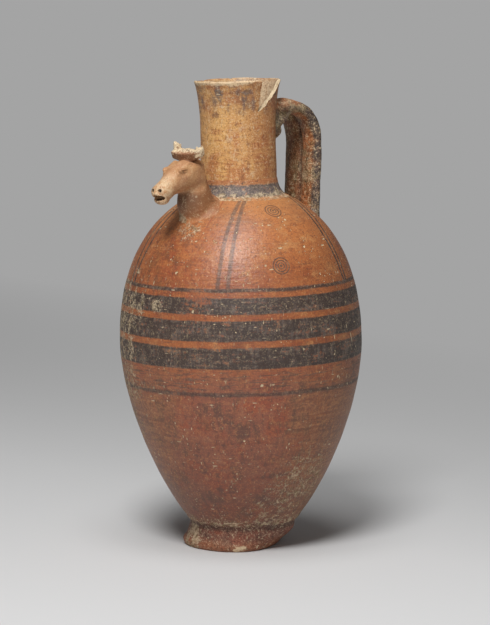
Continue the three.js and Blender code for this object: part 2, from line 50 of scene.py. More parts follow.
# Sizes in millimetres, slopes and headings in degrees. The main ones are those of the solids.
FOOT_HEIGHT = 16.5
FOOT_SHIFT = 4.5
LEAN_DEGREES = 0.85
LEAN_HEADING = 142
BASE_RADIUS = 34.0
BELLY_RADIUS = 76.5
BELLY_HEIGHT = 132.0
SEAT_RADIUS = 28.0
SEAT_HEIGHT = 224.0
BODY_WALL = 5.0
FLOOR_HEIGHT = 17.5
NECK_RADIUS = 24.2
WAIST_RADIUS = 23.7
WAIST_HEIGHT = 258.0
NECK_WALL = 3.8
LIP_WALL = 2.0
LIP_RADIUS = 27.4
LIP_HEIGHT = 296.0
BASE_SLOPE = 49.5
BASE_REACH = 33
BELLY_REACH_DOWN = 37
BELLY_REACH_UP = 55
SHOULDER_SLOPE = 22.8
SHOULDER_REACH = 25.6
WAIST_REACH = 17
LIP_SLOPE = 73
LIP_REACH = 9.4
COLLAR_RADIUS = 32.0
COLLAR_TOP = 234.0
NOTCH_HEADING = -68
NOTCH_WIDTH = 23.0
NOTCH_DEPTH = 20.0
CHIP_HEADING = -38
SPOUT_TURN = 10
HEAD_START = (-45.1, 244.2)
EAR_MIDDLE = np.array([-46.3, 0, 250.9])
EYE_PLACE = (0.44, 4.9)
EYE_SIDE = 6.8
HORN_SIDE = 8.8

# The ear roll: half sizes in millimetres, rounding of its edges, and lean in radians.
EAR_SPAN = 12.0
EAR_DEPTH = 3.6
EAR_HEIGHT = 2.8
EAR_ROUND = 1.0
EAR_LEAN = -0.3

# The throat's rings in the spout's plane: distance out, height, radius.
THROAT_RINGS = np.array([[34.5, 207.5, 12.2], [40.3, 222.5, 11.4], [44.0, 241.0, 9.0]])

# The handle's two rolls, and the wad in the corner under them.
ROLL_WIDTH = 16.4
ROLL_THICKNESS = 9.0
HANDLE_REACH = 53.0
HANDLE_FOOT_REACH = 50.5
HANDLE_ARCH = 278.7
HANDLE_BEND = 21.0
HANDLE_START = 23.8
HANDLE_SINK = 8
WAD_RUN = 17.5
WAD_DROP = 15.5
WAD_REACH = 42
WAD_DEPTH = 3.4
WAD_HALF_WIDTH = 13.4

# The head's stations from the skull to the muzzle: distance out, height, crown, jaw, half width.
HEAD_STATIONS = np.array([
    [-8.0, -1.0, 2.5, 4.0, 4.0],
    [-6.0, -0.8, 4.5, 7.0, 6.6],
    [-0.5, -1.2, 5.4, 9.8, 8.8],
    [7.0, -3.8, 7.8, 11.8, 9.4],
    [13.8, -7.6, 7.4, 9.2, 8.0],
    [19.5, -11.1, 6.3, 6.6, 6.5],
    [24.4, -14.0, 6.0, 6.2, 6.3],
    [27.9, -15.7, 5.1, 5.3, 5.5],
    [29.9, -16.5, 3.0, 3.2, 3.4],
])

# Features of the head: middle, half sizes and softness of the edge. Lips, mouth and nostril lie from the
# muzzle's tip; socket, cheek and brow by their share of the head's length, height over its middle and side.
UPPER_LIP = ((3.4, 0, 3.0), (4.2, 5.7, 3.6), 1.5)
LOWER_LIP = ((4.6, 0, -2.4), (4.2, 4.9, 3.0), 1.2)
MOUTH = ((0.8, 0, -0.8), (6.5, 4.9, 1.7), 0.6)
EYE_SOCKET = ((0.44, 4.7, 10.4), (5.0, 2.6, 3.2), 1.8)
CHEEK = ((0.3, -5.4, 4.8), (8.6, 4.2, 5.4), 2.5)
BROW_START = (0.34, 6.0, 5.6)
BROW_END = (0.5, 5.2, 5.6)
NOSTRIL = np.array([-0.2, 2.8, 3.6])
NOSTRIL_RADII = (2.2, 1.15, 1.0)

# The foot's rings from the rim up its outside and back down its inside: radius, height, share of the shift.
FOOT_OUTSIDE = np.array([
    [29.9, 0.0, 1.0],
    [31.3, 0.7, 1.0],
    [32.2, 2.6, 1.0],
    [32.1, 4.6, 0.97],
    [31.7, 7.4, 0.7],
    [32.2, 10.5, 0.42],
    [33.0, 13.6, 0.16],
    [33.9, 15.8, 0.06],
    [35.3, 17.5, 0.0],
    [36.5, 19.1, 0.0],
    [37.0, 20.2, 0.0],
])
FOOT_INSIDE = np.array([
    [33.0, 16.6, 0.0],
    [30.0, 15.2, 0.0],
    [21.0, 11.3, 0.3],
    [20.6, 7.0, 0.6],
    [21.0, 1.2, 1.0],
    [21.8, 0.0, 1.0],
])
FOOT_RADIUS = 32

# Meshes: parts of a turn, and the least angle of a sharp edge. A skin is sought on every fourth point
# first, then on all points within some cells of the surface. Its corners are drawn onto the surface a few
# times, by slopes that are taken over a small step.
SEGMENTS = 256
NECK_SEGMENTS = 320
SHARP_EDGE = math.radians(55)
BROKEN_EDGE = math.radians(38)
COARSE = 4
NEAR_CELLS = 8
DRAWS = 3
PROBE = 0.05
TINY = 1e-6


# Curves

def bezier(start, first, second, end, count):
    t = np.linspace(0, 1, count)[:, None]
    u = 1 - t
    points = [np.asarray(p, float) for p in (start, first, second, end)]
    return u**3 * points[0] + 3 * u * u * t * points[1] + 3 * u * t * t * points[2] + t**3 * points[3]


def catmull(points, count):
    """A smooth curve through rows of numbers."""
    padded = np.vstack([2 * points[0] - points[1], points, 2 * points[-1] - points[-2]])
    share = np.linspace(0, len(points) - 1, count)
    i = np.minimum(share.astype(int), len(points) - 2)
    t = (share - i)[:, None]
    a, b, c, d = (padded[i + k] for k in range(4))
    return b + 0.5 * t * (c - a + t * (2 * a - 5 * b + 4 * c - d + t * (3 * (b - c) + d - a)))


def heading(degrees):
    return np.array([math.cos(math.radians(degrees)), math.sin(math.radians(degrees))])


def body_outline(count):
    """(radius, height) of the body from the foot to the neck's seat."""
    base = np.array([BASE_RADIUS, FOOT_HEIGHT])
    belly = np.array([BELLY_RADIUS, BELLY_HEIGHT])
    seat = np.array([SEAT_RADIUS, SEAT_HEIGHT])
    shoulder = seat + SHOULDER_REACH * heading(-SHOULDER_SLOPE)
    low = bezier(base, base + BASE_REACH * heading(BASE_SLOPE), belly - [0, BELLY_REACH_DOWN], belly, count)
    high = bezier(belly, belly + [0, BELLY_REACH_UP], shoulder, seat, count)
    return np.vstack([low, high[1:]])


def neck_outline(count):
    """(radius, height) of the neck from its seat to the round of the lip."""
    top = np.array([LIP_RADIUS, LIP_HEIGHT - LIP_WALL / 2])
    waist = np.array([WAIST_RADIUS, WAIST_HEIGHT])
    stem = np.linspace([NECK_RADIUS, SEAT_HEIGHT], waist, count)
    flare = bezier(waist, waist + [0, WAIST_REACH], top - LIP_REACH * heading(LIP_SLOPE), top, count)
    return np.vstack([stem, flare[1:]])


def inset(outline, distance):
    """An outline moved to its left."""
    along = np.gradient(outline, axis=0)
    along /= np.linalg.norm(along, axis=1)[:, None]
    return outline + distance * np.stack([-along[:, 1], along[:, 0]], 1)


BODY_LINE = body_outline(90)
NECK_LINE = neck_outline(40)


def shoulder_height(radius):
    high = BODY_LINE[BODY_LINE[:, 1] > BELLY_HEIGHT][::-1]
    return float(np.interp(radius, high[:, 0], high[:, 1]))


def collar_outline(count):
    """(radius, height) of the coil over the joint of neck and shoulder, from its edge to its top."""
    edge = np.array([COLLAR_RADIUS, shoulder_height(COLLAR_RADIUS) + 0.35])
    corner = np.array([NECK_RADIUS + 1.2, SEAT_HEIGHT + 0.7])
    top = np.array([NECK_RADIUS + 0.15, COLLAR_TOP])
    t = np.linspace(0, 1, count)[:, None]
    return (1 - t) ** 2 * edge + 2 * t * (1 - t) * corner + t * t * top


COLLAR_LINE = collar_outline(24)
VESSEL_LINE = np.vstack([
    BODY_LINE[BODY_LINE[:, 1] < COLLAR_LINE[0, 1]],
    COLLAR_LINE,
    NECK_LINE[NECK_LINE[:, 1] > COLLAR_TOP],
])
VESSEL_SLOPE = np.gradient(VESSEL_LINE[:, 0], VESSEL_LINE[:, 1])


def polar(points):
    """Distance from the vessel's axis, and angle round it."""
    return np.hypot(points[:, 0], points[:, 1]), np.arctan2(points[:, 1], points[:, 0])


def uneven(angle, height):
    """How far the hand-made wall stands out of true."""
    slow = 0.24 * np.sin(2 * angle + 0.7 + height / 60) + 0.16 * np.sin(3 * angle - 1.1 - height / 37)
    quick = 0.1 * np.sin(5 * angle + 2 + height / 23) + 0.05 * np.sin(height / 3.1 + 2 * angle)
    return slow + quick


def ripple(points, length, seed):
    """Soft seeded bumps of about that length, between about -1 and 1."""
    rng = np.random.default_rng(seed)
    total = np.zeros(len(points))
    for _ in range(7):
        wave = rng.normal(size=3)
        wave *= 2 * math.pi / (length * np.linalg.norm(wave)) * rng.uniform(0.7, 1.4)
        total += np.sin(points @ wave + rng.uniform(0, 2 * math.pi))
    return total / 3.5


# Distance fields: negative inside a shape. They let clay forms run into each other softly.

def join(a, b, reach):
    """Union with a soft fillet of that reach."""
    share = np.maximum(reach - np.abs(a - b), 0) / reach
    return np.minimum(a, b) - share * share * reach / 4


def carve(a, b, reach):
    """a without b, with soft edges."""
    return -join(-a, b, reach)


def oval(points, middle, radii):
    q = points - middle
    radii = np.asarray(radii, float)
    scaled = np.linalg.norm(q / radii, axis=1)
    return scaled * (scaled - 1) / np.maximum(np.linalg.norm(q / radii**2, axis=1), TINY)


def cone(points, start, end, start_radius, end_radius):
    """A round-ended bar whose radius changes from end to end."""
    along = end - start
    share = np.clip((points - start) @ along / (along @ along), 0, 1)
    radius = start_radius + share * (end_radius - start_radius)
    return np.linalg.norm(points - start - share[:, None] * along, axis=1) - radius


def swept(points, line, over, under, half):
    """An oval section swept along a line in the plane y = 0: its size over, under and beside the line."""
    best = np.full(len(points), np.inf)
    result = np.empty(len(points))
    x, y, z = points.T
    for i in range(len(line) - 1):
        start, step = line[i], line[i + 1] - line[i]
        length = np.linalg.norm(step)
        along = step / length
        px = x - start[0]
        pz = z - start[1]
        reach = (px * along[0] + pz * along[1]) / length
        share = np.clip(reach, 0, 1)
        past = (reach - share) * length
        rise = px * along[1] - pz * along[0]
        gap = past * past + rise * rise
        closer = gap < best
        rise, past, share, beside = rise[closer], past[closer], share[closer], y[closer]
        above, below, width = (rim[i] + share * (rim[i + 1] - rim[i]) for rim in (over, under, half))
        size = np.where(rise > 0, above, below)
        cap = np.minimum(size, width) * 0.5
        one = np.sqrt((rise / size) ** 2 + (beside / width) ** 2 + (past / cap) ** 2)
        two = np.sqrt((rise / size**2) ** 2 + (beside / width**2) ** 2 + (past / cap**2) ** 2)
        result[closer] = one * (one - 1) / np.maximum(two, TINY)
        best[closer] = gap[closer]
    return result


def vessel(points):
    """Distance to the outside of body, collar and neck."""
    radius, angle = polar(points)
    height = points[:, 2]
    wall = np.interp(height, VESSEL_LINE[:, 1], VESSEL_LINE[:, 0]) + uneven(angle, height)
    slope = np.interp(height, VESSEL_LINE[:, 1], VESSEL_SLOPE)
    return (radius - wall) / np.sqrt(1 + slope * slope)


def luted(own, base, reach, depth=2.0, sink=0.04):
    """A piece with a fillet onto what carries it. Its feathered edge runs just under that surface."""
    shape = join(own, base, reach) + sink
    return np.maximum(np.maximum(shape, -(base + depth)), own - 0.9 * reach)


# Spout

HEAD_CURVE = catmull(HEAD_STATIONS, 41)
HEAD_LINE = np.stack([HEAD_START[0] - HEAD_CURVE[:, 0], HEAD_START[1] + HEAD_CURVE[:, 1]], 1)
JAW_POINT = np.array([-44, 0, 231])
JAW_NORMAL = np.array([-0.5, 0, 0.866])
STEM_POINT = np.array([-39, 0, 219])
STEM_NORMAL = np.array([-0.36, 0, 0.933])


def round_axis(points, degrees):
    """Points turned about the vessel's axis."""
    c, s = heading(degrees)
    return points @ np.array([[c, s, 0], [-s, c, 0], [0, 0, 1]])


def on_head(share, up, side):
    """A point by its share of the way from skull to muzzle, its height over the middle and its side."""
    place = share * (len(HEAD_LINE) - 1)
    i = min(int(place), len(HEAD_LINE) - 2)
    step = HEAD_LINE[i + 1] - HEAD_LINE[i]
    middle = HEAD_LINE[i] + (place - i) * step
    step = step / np.linalg.norm(step)
    return np.array([middle[0] + up * step[1], side, middle[1] - up * step[0]])


MUZZLE = on_head(1.0, 0, 0)


def throat(points):
    rings = [(np.array([-out, 0, height]), radius) for out, height, radius in THROAT_RINGS]
    slim = 1 + 0.2 * np.clip((points[:, 2] - 214) / 14, 0, 1)
    narrowed = np.stack([points[:, 0], points[:, 1] * slim, points[:, 2]], 1)
    parts = [cone(narrowed, low, high, r, t) for (low, r), (high, t) in zip(rings, rings[1:])]
    return join(*parts, 3) + 0.12 * ripple(points, 12, 3)


def head(points):
    """The animal's head on its throat."""
    mirrored = np.stack([points[:, 0], np.abs(points[:, 1]), points[:, 2]], 1)
    skull = swept(points, HEAD_LINE, HEAD_CURVE[:, 2], HEAD_CURVE[:, 3], HEAD_CURVE[:, 4])
    for middle, radii, soft in (UPPER_LIP, LOWER_LIP):
        skull = join(skull, oval(points, MUZZLE + middle, radii), soft)
    middle, radii, soft = EYE_SOCKET
    skull = carve(skull, oval(mirrored, on_head(*middle), radii), soft)
    skull = join(skull, cone(mirrored, on_head(*BROW_START), on_head(*BROW_END), 1.1, 0.8), 2.4)
    middle, radii, soft = CHEEK
    skull = join(skull, oval(mirrored, on_head(*middle), radii), soft)
    whole = join(skull, throat(points), 1.8)
    middle, radii, soft = MOUTH
    whole = carve(whole, oval(points, MUZZLE + middle, radii), soft)
    whole = carve(whole, oval(mirrored, MUZZLE + NOSTRIL, NOSTRIL_RADII), 0.4)
    return whole + 0.13 * ripple(points, 9, 5)


def spout(points):
    """Head and throat with a soft foot on the shoulder and a tight one along the neck."""
    wall = vessel(round_axis(points, SPOUT_TURN))
    animal = head(points)
    behind = points[:, 0] + THROAT_RINGS[0, 0]
    facing = behind / np.maximum(np.hypot(behind, points[:, 1]), TINY)
    on_shoulder = np.clip((facing + 0.75) / 0.5, 0, 1) * np.clip((226 - points[:, 2]) / 10, 0, 1)
    return luted(animal, wall, 2.5 + 5 * on_shoulder)


def over_jaw(points):
    return (points - JAW_POINT) @ JAW_NORMAL


def over_shoulder(points):
    return (points - STEM_POINT) @ STEM_NORMAL


def ears(points):
    """The roll across the skull: a flat band, its front face undercut, its ends pinched."""
    x, y, z = points.T
    share = np.clip(y / EAR_SPAN, -1.2, 1.2)
    middle = EAR_MIDDLE[2] + (1.8 - 0.8 * share) * share**2
    front = (x - EAR_MIDDLE[0]) * math.cos(EAR_LEAN) - (z - middle) * math.sin(EAR_LEAN)
    up = (x - EAR_MIDDLE[0]) * math.sin(EAR_LEAN) + (z - middle) * math.cos(EAR_LEAN)
    deep = np.abs(front) - EAR_DEPTH + 1.2 * share**4
    tall = np.abs(up) - EAR_HEIGHT + 0.6 * share**4
    sides = np.maximum(deep, tall)
    corner = np.hypot(np.maximum(deep + EAR_ROUND, 0), np.maximum(tall + EAR_ROUND, 0)) - EAR_ROUND
    bar = np.where(sides < -EAR_ROUND, sides, corner)
    bar = -join(-bar, EAR_SPAN - np.abs(y), 1.0)
    return bar + 0.1 * ripple(points, 5, 8)


def crest(points):
    """The ear roll with the torn clay that stands on it between the horns."""
    torn = oval(points, EAR_MIDDLE + [0.8, 0, 2.2], (2.6, 9.0, 2.4)) + 0.45 * ripple(points, 2.4, 9)
    return join(ears(points), torn, 0.8)


def horn(points, side):
    root = EAR_MIDDLE + [0.6, side * HORN_SIDE, 1.5]
    tip = root + [-0.2, side * 0.7, 4.9 + side * 1.1]
    stump = cone(points, root, tip, 2.9, 2.2)
    broken = (points - tip) @ np.array([0.2, -0.3 * side, 0.93]) + 0.6 * ripple(points, 2.0, 20 + side)
    return -join(-stump, -broken, 0.3) + 0.22 * ripple(points, 2.6, 11 + side)


def eye(points, side):
    """An almond pellet with a slit."""
    middle = on_head(*EYE_PLACE, side * EYE_SIDE)
    pellet = oval(points, middle, (3.6, 1.5, 1.9))
    slit = oval(points, middle + [-0.1, side * 1.6, -0.1], (2.7, 0.9, 0.45))
    return carve(pellet, slit, 0.25)


# Handle

def handle_line(count):
    """(x, z) of the rolls' middle line: out from the neck, round the bend, down to the shoulder."""
    corner = HANDLE_BEND * (1 - math.cos(math.pi / 4))
    foot = shoulder_height(HANDLE_FOOT_REACH) - HANDLE_SINK
    points = np.array([
        [HANDLE_START, HANDLE_ARCH - 0.5],
        [HANDLE_REACH - HANDLE_BEND, HANDLE_ARCH],
        [HANDLE_REACH - corner, HANDLE_ARCH - corner],
        [HANDLE_REACH, HANDLE_ARCH - HANDLE_BEND],
        [(HANDLE_REACH + HANDLE_FOOT_REACH) / 2 + 0.3, (HANDLE_ARCH - HANDLE_BEND + foot) / 2],
        [HANDLE_FOOT_REACH, foot],
    ])
    return catmull(points, count)


HANDLE_LINE = handle_line(46)


def roll(points, side):
    shifted = points - [0, side * (ROLL_WIDTH / 2 + 0.05), 0]
    count = len(HANDLE_LINE)
    thick = np.full(count, ROLL_THICKNESS / 2)
    shape = swept(shifted, HANDLE_LINE, thick, thick * 0.96, np.full(count, ROLL_WIDTH / 2))
    return shape + 0.2 * ripple(points, 16, 30 + side) + 0.08 * ripple(points, 5, 40 + side)


def rolls(points):
    return np.minimum(roll(points, LEFT), roll(points, RIGHT))


def wad(points):
    """Clay pressed into the corner under the handle, drawn down the neck to a blunt end."""
    x, y, z = points.T
    slant = (x - WAD_REACH) * WAD_DROP - (z - HANDLE_ARCH + 4) * WAD_RUN
    slope = slant / math.hypot(WAD_DROP, WAD_RUN) + WAD_DEPTH
    section = -join(-slope, HANDLE_ARCH - 1 - z, 2)
    web = -join(-section, WAD_HALF_WIDTH - np.abs(y), 5)
    web = join(web, oval(points, np.array([25.8, -1, HANDLE_ARCH - 16]), (4.2, 9.5, 5.6)), 2.0)
    web = np.maximum(web + 0.25 * ripple(points, 7, 51), x - WAD_REACH - 2)
    shape = luted(web, vessel(points), 2.5)
    return np.maximum(shape, -(rolls(points) + 2)) + 0.14 * ripple(points, 6, 50)


# Meshes

LEAN_AXIS = Vector((0, 0, 1)).cross(Vector((*heading(LEAN_HEADING), 0)))
LEAN = Matrix.Rotation(math.radians(LEAN_DEGREES), 4, LEAN_AXIS)
PIVOT = Matrix.Translation((0, 0, BELLY_HEIGHT * MM))
LEANING = PIVOT @ LEAN @ PIVOT.inverted()


def skin(field, low, high, step):
    """A closed quad skin round the places where the field is negative."""
    low = np.asarray(low, float)
    counts = [int(math.ceil((h - l) / step / COARSE)) * COARSE + 1 for l, h in zip(low, high)]
    rough = np.stack(np.meshgrid(*[np.arange(0, n, COARSE) for n in counts], indexing="ij"), -1)
    guess = field(low + step * rough.reshape(-1, 3)).reshape(rough.shape[:3])
    near = [np.rint(np.arange(n) / COARSE).astype(int) for n in counts]
    values = guess[np.ix_(*near)]
    close = np.argwhere(np.abs(values) < NEAR_CELLS * step)
    values[tuple(close.T)] = field(low + step * close)
    cells = tuple(n - 1 for n in counts)
    total = np.zeros(cells + (3,))
    hits = np.zeros(cells, int)
    for axis in range(3):
        others = [k for k in range(3) if k != axis]
        for corner in ((0, 0), (0, 1), (1, 0), (1, 1)):
            start = np.zeros(3, int)
            start[others] = corner
            end = start.copy()
            end[axis] = 1
            a = values[tuple(slice(s, s + n) for s, n in zip(start, cells))]
            b = values[tuple(slice(s, s + n) for s, n in zip(end, cells))]
            cut = (a < 0) != (b < 0)
            place = np.broadcast_to(start.astype(float), (int(cut.sum()), 3)).copy()
            place[:, axis] += a[cut] / (a[cut] - b[cut])
            total[cut] += place
            hits[cut] += 1
    active = hits > 0
    index = np.full(cells, -1)
    index[active] = np.arange(active.sum())
    points = low + step * (np.argwhere(active) + total[active] / hits[active][:, None])
    faces = []
    inside = values < 0
    for axis in range(3):
        b, c = (axis + 1) % 3, (axis + 2) % 3
        here = [slice(1, -1)] * 3
        here[axis] = slice(0, -1)
        there = list(here)
        there[axis] = slice(1, None)
        changed = inside[tuple(here)] != inside[tuple(there)]
        at = np.argwhere(changed)
        at[:, b] += 1
        at[:, c] += 1
        quad = []
        for back, side in ((1, 1), (0, 1), (0, 0), (1, 0)):
            cell = at.copy()
            cell[:, b] -= back
            cell[:, c] -= side
            quad.append(index[tuple(cell.T)])
        quad = np.stack(quad, 1)
        outward = inside[tuple(at.T)]
        faces.append(np.where(outward[:, None], quad, quad[:, ::-1]))
    for _ in range(DRAWS):
        slope = np.stack([field(points + d) - field(points - d) for d in PROBE * np.eye(3)], 1) / (2 * PROBE)
        shift = np.clip(field(points), -step, step) / np.maximum((slope**2).sum(1), 0.2)
        points = points - np.clip(shift[:, None] * slope, -0.6 * step, 0.6 * step)
    return points, np.vstack(faces).tolist()


def strips(rows):
    """Faces between rows of point numbers that run round. A row may be one number over and over."""
    faces = []
    for low, high in zip(rows, rows[1:]):
        ring = zip(low, low[1:] + low[:1], high[1:] + high[:1], high)
        faces += [list(dict.fromkeys(corners)) for corners in ring]
    return faces


def turned(profile, segments, shape=None):
    """A closed lathe skin. The profile runs from the axis back to it, or round in a loop."""
    angles = np.arange(segments) * 2 * math.pi / segments
    points, rows = [], []
    for radius, height in profile:
        if radius > 0:
            rows.append(list(range(len(points), len(points) + segments)))
            points += [(radius * math.cos(t), radius * math.sin(t), height) for t in angles]
        else:
            rows.append([len(points)] * segments)
            points.append((0, 0, height))
    if profile[0, 0] > 0:
        rows.append(rows[0])
    points = np.array(points)
    return (shape(points) if shape else points), strips(rows)


def add_object(name, data):
    """Puts a mesh, a lamp or the camera into the scene."""
    item = bpy.data.objects.new(name, data)
    bpy.context.scene.collection.objects.link(item)
    return item


def new_mesh(name, points, faces, material):
    """A mesh from points in millimetres."""
    mesh = bpy.data.meshes.new(name)
    mesh.from_pydata((np.asarray(points) * MM).tolist(), [], faces)
    mesh.materials.append(material)
    return mesh


def add_piece(name, points, faces, material, slot, leans=True):
    """Makes a mesh the picture of the CAD node of the same name."""
    mesh = new_mesh(name, points, faces, material)
    mesh.validate()
    mesh.shade_smooth()
    mesh.set_sharp_from_angle(angle=SHARP_EDGE)
    piece = add_object("look_" + name, mesh)
    if leans:
        piece.matrix_world = LEANING
    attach(piece, BODY)
    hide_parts(name)
    return piece


def bulged(points):
    """Moves a lathe's outer wall out of true, as the clay is."""
    radius, angle = polar(points)
    grow = 1 + uneven(angle, points[:, 2]) / np.maximum(radius, TINY)
    return points * np.stack([grow, grow, np.ones(len(points))], 1)


def make_body(material):
    inner = inset(BODY_LINE[6:-6:2], BODY_WALL)[::-1]
    floor = bezier(inner[-1], [inner[-1][0] * 0.6, FLOOR_HEIGHT], [8, FLOOR_HEIGHT], [0, FLOOR_HEIGHT], 14)
    sole = np.array([[0, 10.5], [18, 10.5], [26, 13.2], [33.0, 16.0], [33.6, 16.5]])
    mouth = np.array([[SEAT_RADIUS - 2, SEAT_HEIGHT + 0.1], [20.4, SEAT_HEIGHT], [20.2, SEAT_HEIGHT - 3]])
    profile = np.vstack([sole, BODY_LINE[1:], mouth, inner, floor[1:]])
    return add_piece("body", *turned(profile, SEGMENTS, bulged), material, "slip_red")


def lip_wear(points):
    """Uneven lip: soft waves and small chips along its edge."""
    points = bulged(points)
    angle = polar(points)[1]
    rng = np.random.default_rng(12)
    drop = 0.35 + 0.3 * np.sin(2 * angle + 1.2) + 0.15 * np.sin(7 * angle)
    drop += 1.2 * np.exp(-(((angle - 1.9) / 0.7) ** 2))
    for _ in range(12):
        middle = rng.uniform(-math.pi, math.pi)
        spread = rng.uniform(0.02, 0.06)
        turn = np.angle(np.exp(1j * (angle - middle)))
        drop += rng.uniform(0.1, 0.5) * np.exp(-((turn / spread) ** 2))
    share = np.clip((points[:, 2] - (LIP_HEIGHT - 7)) / 7, 0, 1)
    points[:, 2] -= drop * share**3
    return points


def notch_cutter(material):
    """The missing corner of the lip: one upright edge, one slanting, both rough."""
    half = NOTCH_WIDTH / 2
    corners = np.array([[-half, 6], [-half, -NOTCH_DEPTH], [half, 0], [half, 6]])
    ends = np.roll(corners, -1, axis=0)
    line = np.vstack([np.linspace(a, b, n)[:-1] for a, b, n in zip(corners, ends, (26, 30, 6, 20))])
    out = heading(NOTCH_HEADING)
    side = heading(NOTCH_HEADING + 90)
    depths = np.linspace(12, 36, 28)
    points = np.array([
        [*(d * out + (u * (0.86 + 0.14 * d / 26)) * side), LIP_HEIGHT + v] for d in depths for u, v in line
    ])
    for height, length, seed in ((0.45, 6, 60), (0.22, 2.4, 70)):
        points += height * np.stack([ripple(points, length, seed + k) for k in range(3)], 1)
    rows = np.arange(len(points)).reshape(len(depths), len(line)).tolist()
    faces = strips(rows) + [rows[0][::-1], rows[-1]]
    cutter = add_object("notch", new_mesh("notch", points, faces, material))
    cutter.matrix_world = LEANING
    return cutter


def make_neck(material, broken):
    thin = np.interp(NECK_LINE[:, 1], [WAIST_HEIGHT + 8, LIP_HEIGHT], [NECK_WALL, LIP_WALL])[:, None]
    inner = inset(NECK_LINE, thin)[::-1]
    turn = np.linspace(0, math.pi, 9)[1:-1]
    lip = (NECK_LINE[-1] + inner[0]) / 2 + LIP_WALL / 2 * np.stack([np.cos(turn), np.sin(turn)], 1)
    profile = np.vstack([NECK_LINE, lip, inner])
    neck = add_piece("neck", *turned(profile, NECK_SEGMENTS, lip_wear), material, "slip_ochre")
    cutter = notch_cutter(broken)
    cut = neck.modifiers.new("notch", "BOOLEAN")
    cut.operation = "DIFFERENCE"
    cut.solver = "EXACT"
    cut.material_mode = "TRANSFER"
    cut.object = cutter
    bpy.context.view_layer.update()
    whole = bpy.data.meshes.new_from_object(neck.evaluated_get(bpy.context.evaluated_depsgraph_get()))
    neck.modifiers.clear()
    neck.data = whole
    whole.set_sharp_from_angle(angle=BROKEN_EDGE)
    bpy.data.objects.remove(cutter)
    return neck


def make_collar(material):
    inner = np.array([
        [NECK_RADIUS - 1.5, COLLAR_TOP - 1],
        [NECK_RADIUS - 1.5, SEAT_HEIGHT - 1],
        [COLLAR_RADIUS - 2, SEAT_HEIGHT - 4],
    ])
    edge = COLLAR_LINE[0] - [0, 0.4]
    top = COLLAR_LINE[-1] - [0.5, -0.25]
    profile = np.vstack([edge, COLLAR_LINE[1:], top, inner])
    return add_piece("neck_collar", *turned(profile, SEGMENTS, bulged), material, "paint_dark")


def make_foot(material):
    """A ring that stands flat and aside, its rim gone at one side, its top running up the leaning body."""
    rings = np.vstack([catmull(FOOT_OUTSIDE, 40), FOOT_INSIDE])
    shift = FOOT_SHIFT * heading(LEAN_HEADING)
    points, faces = turned(rings[:, :2], SEGMENTS)
    share = np.repeat(rings[:, 2], SEGMENTS)
    radius, angle = polar(points)
    grow = 1 + (0.35 * np.sin(3 * angle + 1) + 0.25 * np.sin(5 * angle)) / FOOT_RADIUS
    grow += 0.004 * ripple(points, 11, 80)
    spare = np.clip(np.cos(angle - math.radians(CHIP_HEADING)) / 0.6 - 0.5, 0, 1)
    grow += spare * np.interp(points[:, 2], [0, 3.5, 7.5, 11, 16], [-0.12, -0.06, 0.06, 0.08, 0])
    onto_body = np.clip((points[:, 2] - 13) / 4, 0, 1)
    grow = grow + onto_body * (1 + uneven(angle, points[:, 2]) / radius - grow)
    points[:, :2] *= grow[:, None]
    upright = points.copy()
    upright[:, :2] += share[:, None] * shift
    leaning = np.array([LEANING @ Vector(p * MM) for p in points]) / MM
    blend = np.clip(points[:, 2:3] / FOOT_HEIGHT, 0, 1) ** 2
    placed = upright + blend * (leaning - points)
    bumps = 0.12 * ripple(points, 7, 81) * np.minimum(points[:, 2], 1)
    placed[:, 2] = np.where(points[:, 2] > 0, np.maximum(placed[:, 2] + bumps, 0), 0)
    return add_piece("foot", placed, faces, material, "slip_brown", leans=False)


def add_spout_piece(name, field, low, high, step, material, slot):
    points, faces = skin(field, low, high, step)
    return add_piece(name, round_axis(points, SPOUT_TURN), faces, material, slot)


def make_spout(clay, brown, pale):
    """Throat, its collar, the head, the ear roll, horn stumps and eyes, made in the spout's own plane."""
    def face(points):
        return np.maximum(spout(points), -over_jaw(points))

    def stem(points):
        return np.maximum(np.maximum(spout(points) + 0.03, over_jaw(points) - 1), -over_shoulder(points))

    def flare(points):
        return np.maximum(spout(points) + 0.06, over_shoulder(points) - 1)

    def band(points):
        return luted(crest(points), head(points), 1.2)

    add_spout_piece("animal_head", face, [-81, -14, 216], [-24, 14, 256], 0.42, clay, "clay_tan")
    add_spout_piece("spout_throat", stem, [-64, -19, 206], [-20, 19, 246], 0.45, clay, "slip_ochre")
    add_spout_piece("spout_collar", flare, [-66, -26, 188], [-12, 26, 230], 0.5, clay, "slip_ochre")
    crest_box = (EAR_MIDDLE - [7, 16, 6], EAR_MIDDLE + [7, 16, 9])
    add_spout_piece("ear_roll", band, *crest_box, 0.3, brown, "clay_tan")
    for side, name in ((LEFT, "left"), (RIGHT, "right")):
        def stump(points):
            return luted(horn(points, side), crest(points), 1.2, 1.2)

        def pellet(points):
            return luted(eye(points, side), head(points), 0.6, 1.0)

        stub = EAR_MIDDLE + [0, side * HORN_SIDE, 4]
        spot = on_head(*EYE_PLACE, side * EYE_SIDE)
        add_spout_piece("horn_" + name, stump, stub - [6, 6, 6], stub + [6, 6, 8], 0.25, pale, "clay_pale")
        add_spout_piece("eye_" + name, pellet, spot - [5, 4, 4], spot + [5, 4, 4], 0.17, clay, "clay_tan")


def make_handle(clay):
    for side, name in ((LEFT, "left"), (RIGHT, "right")):
        low = np.array([15.0, min(0, side * 21) - 1, 198.0])
        high = np.array([60.0, max(0, side * 21) + 1, 287.0])
        shape = skin(lambda p: luted(roll(p, side), vessel(p), 3.5), low, high, 0.6)
        add_piece("handle_roll_" + name, *shape, clay, "slip_brown")
    lump = skin(wad, [17, -18, 252], [48, 18, 283], 0.5)
    add_piece("handle_wad", *lump, clay, "slip_brown")


# Materials

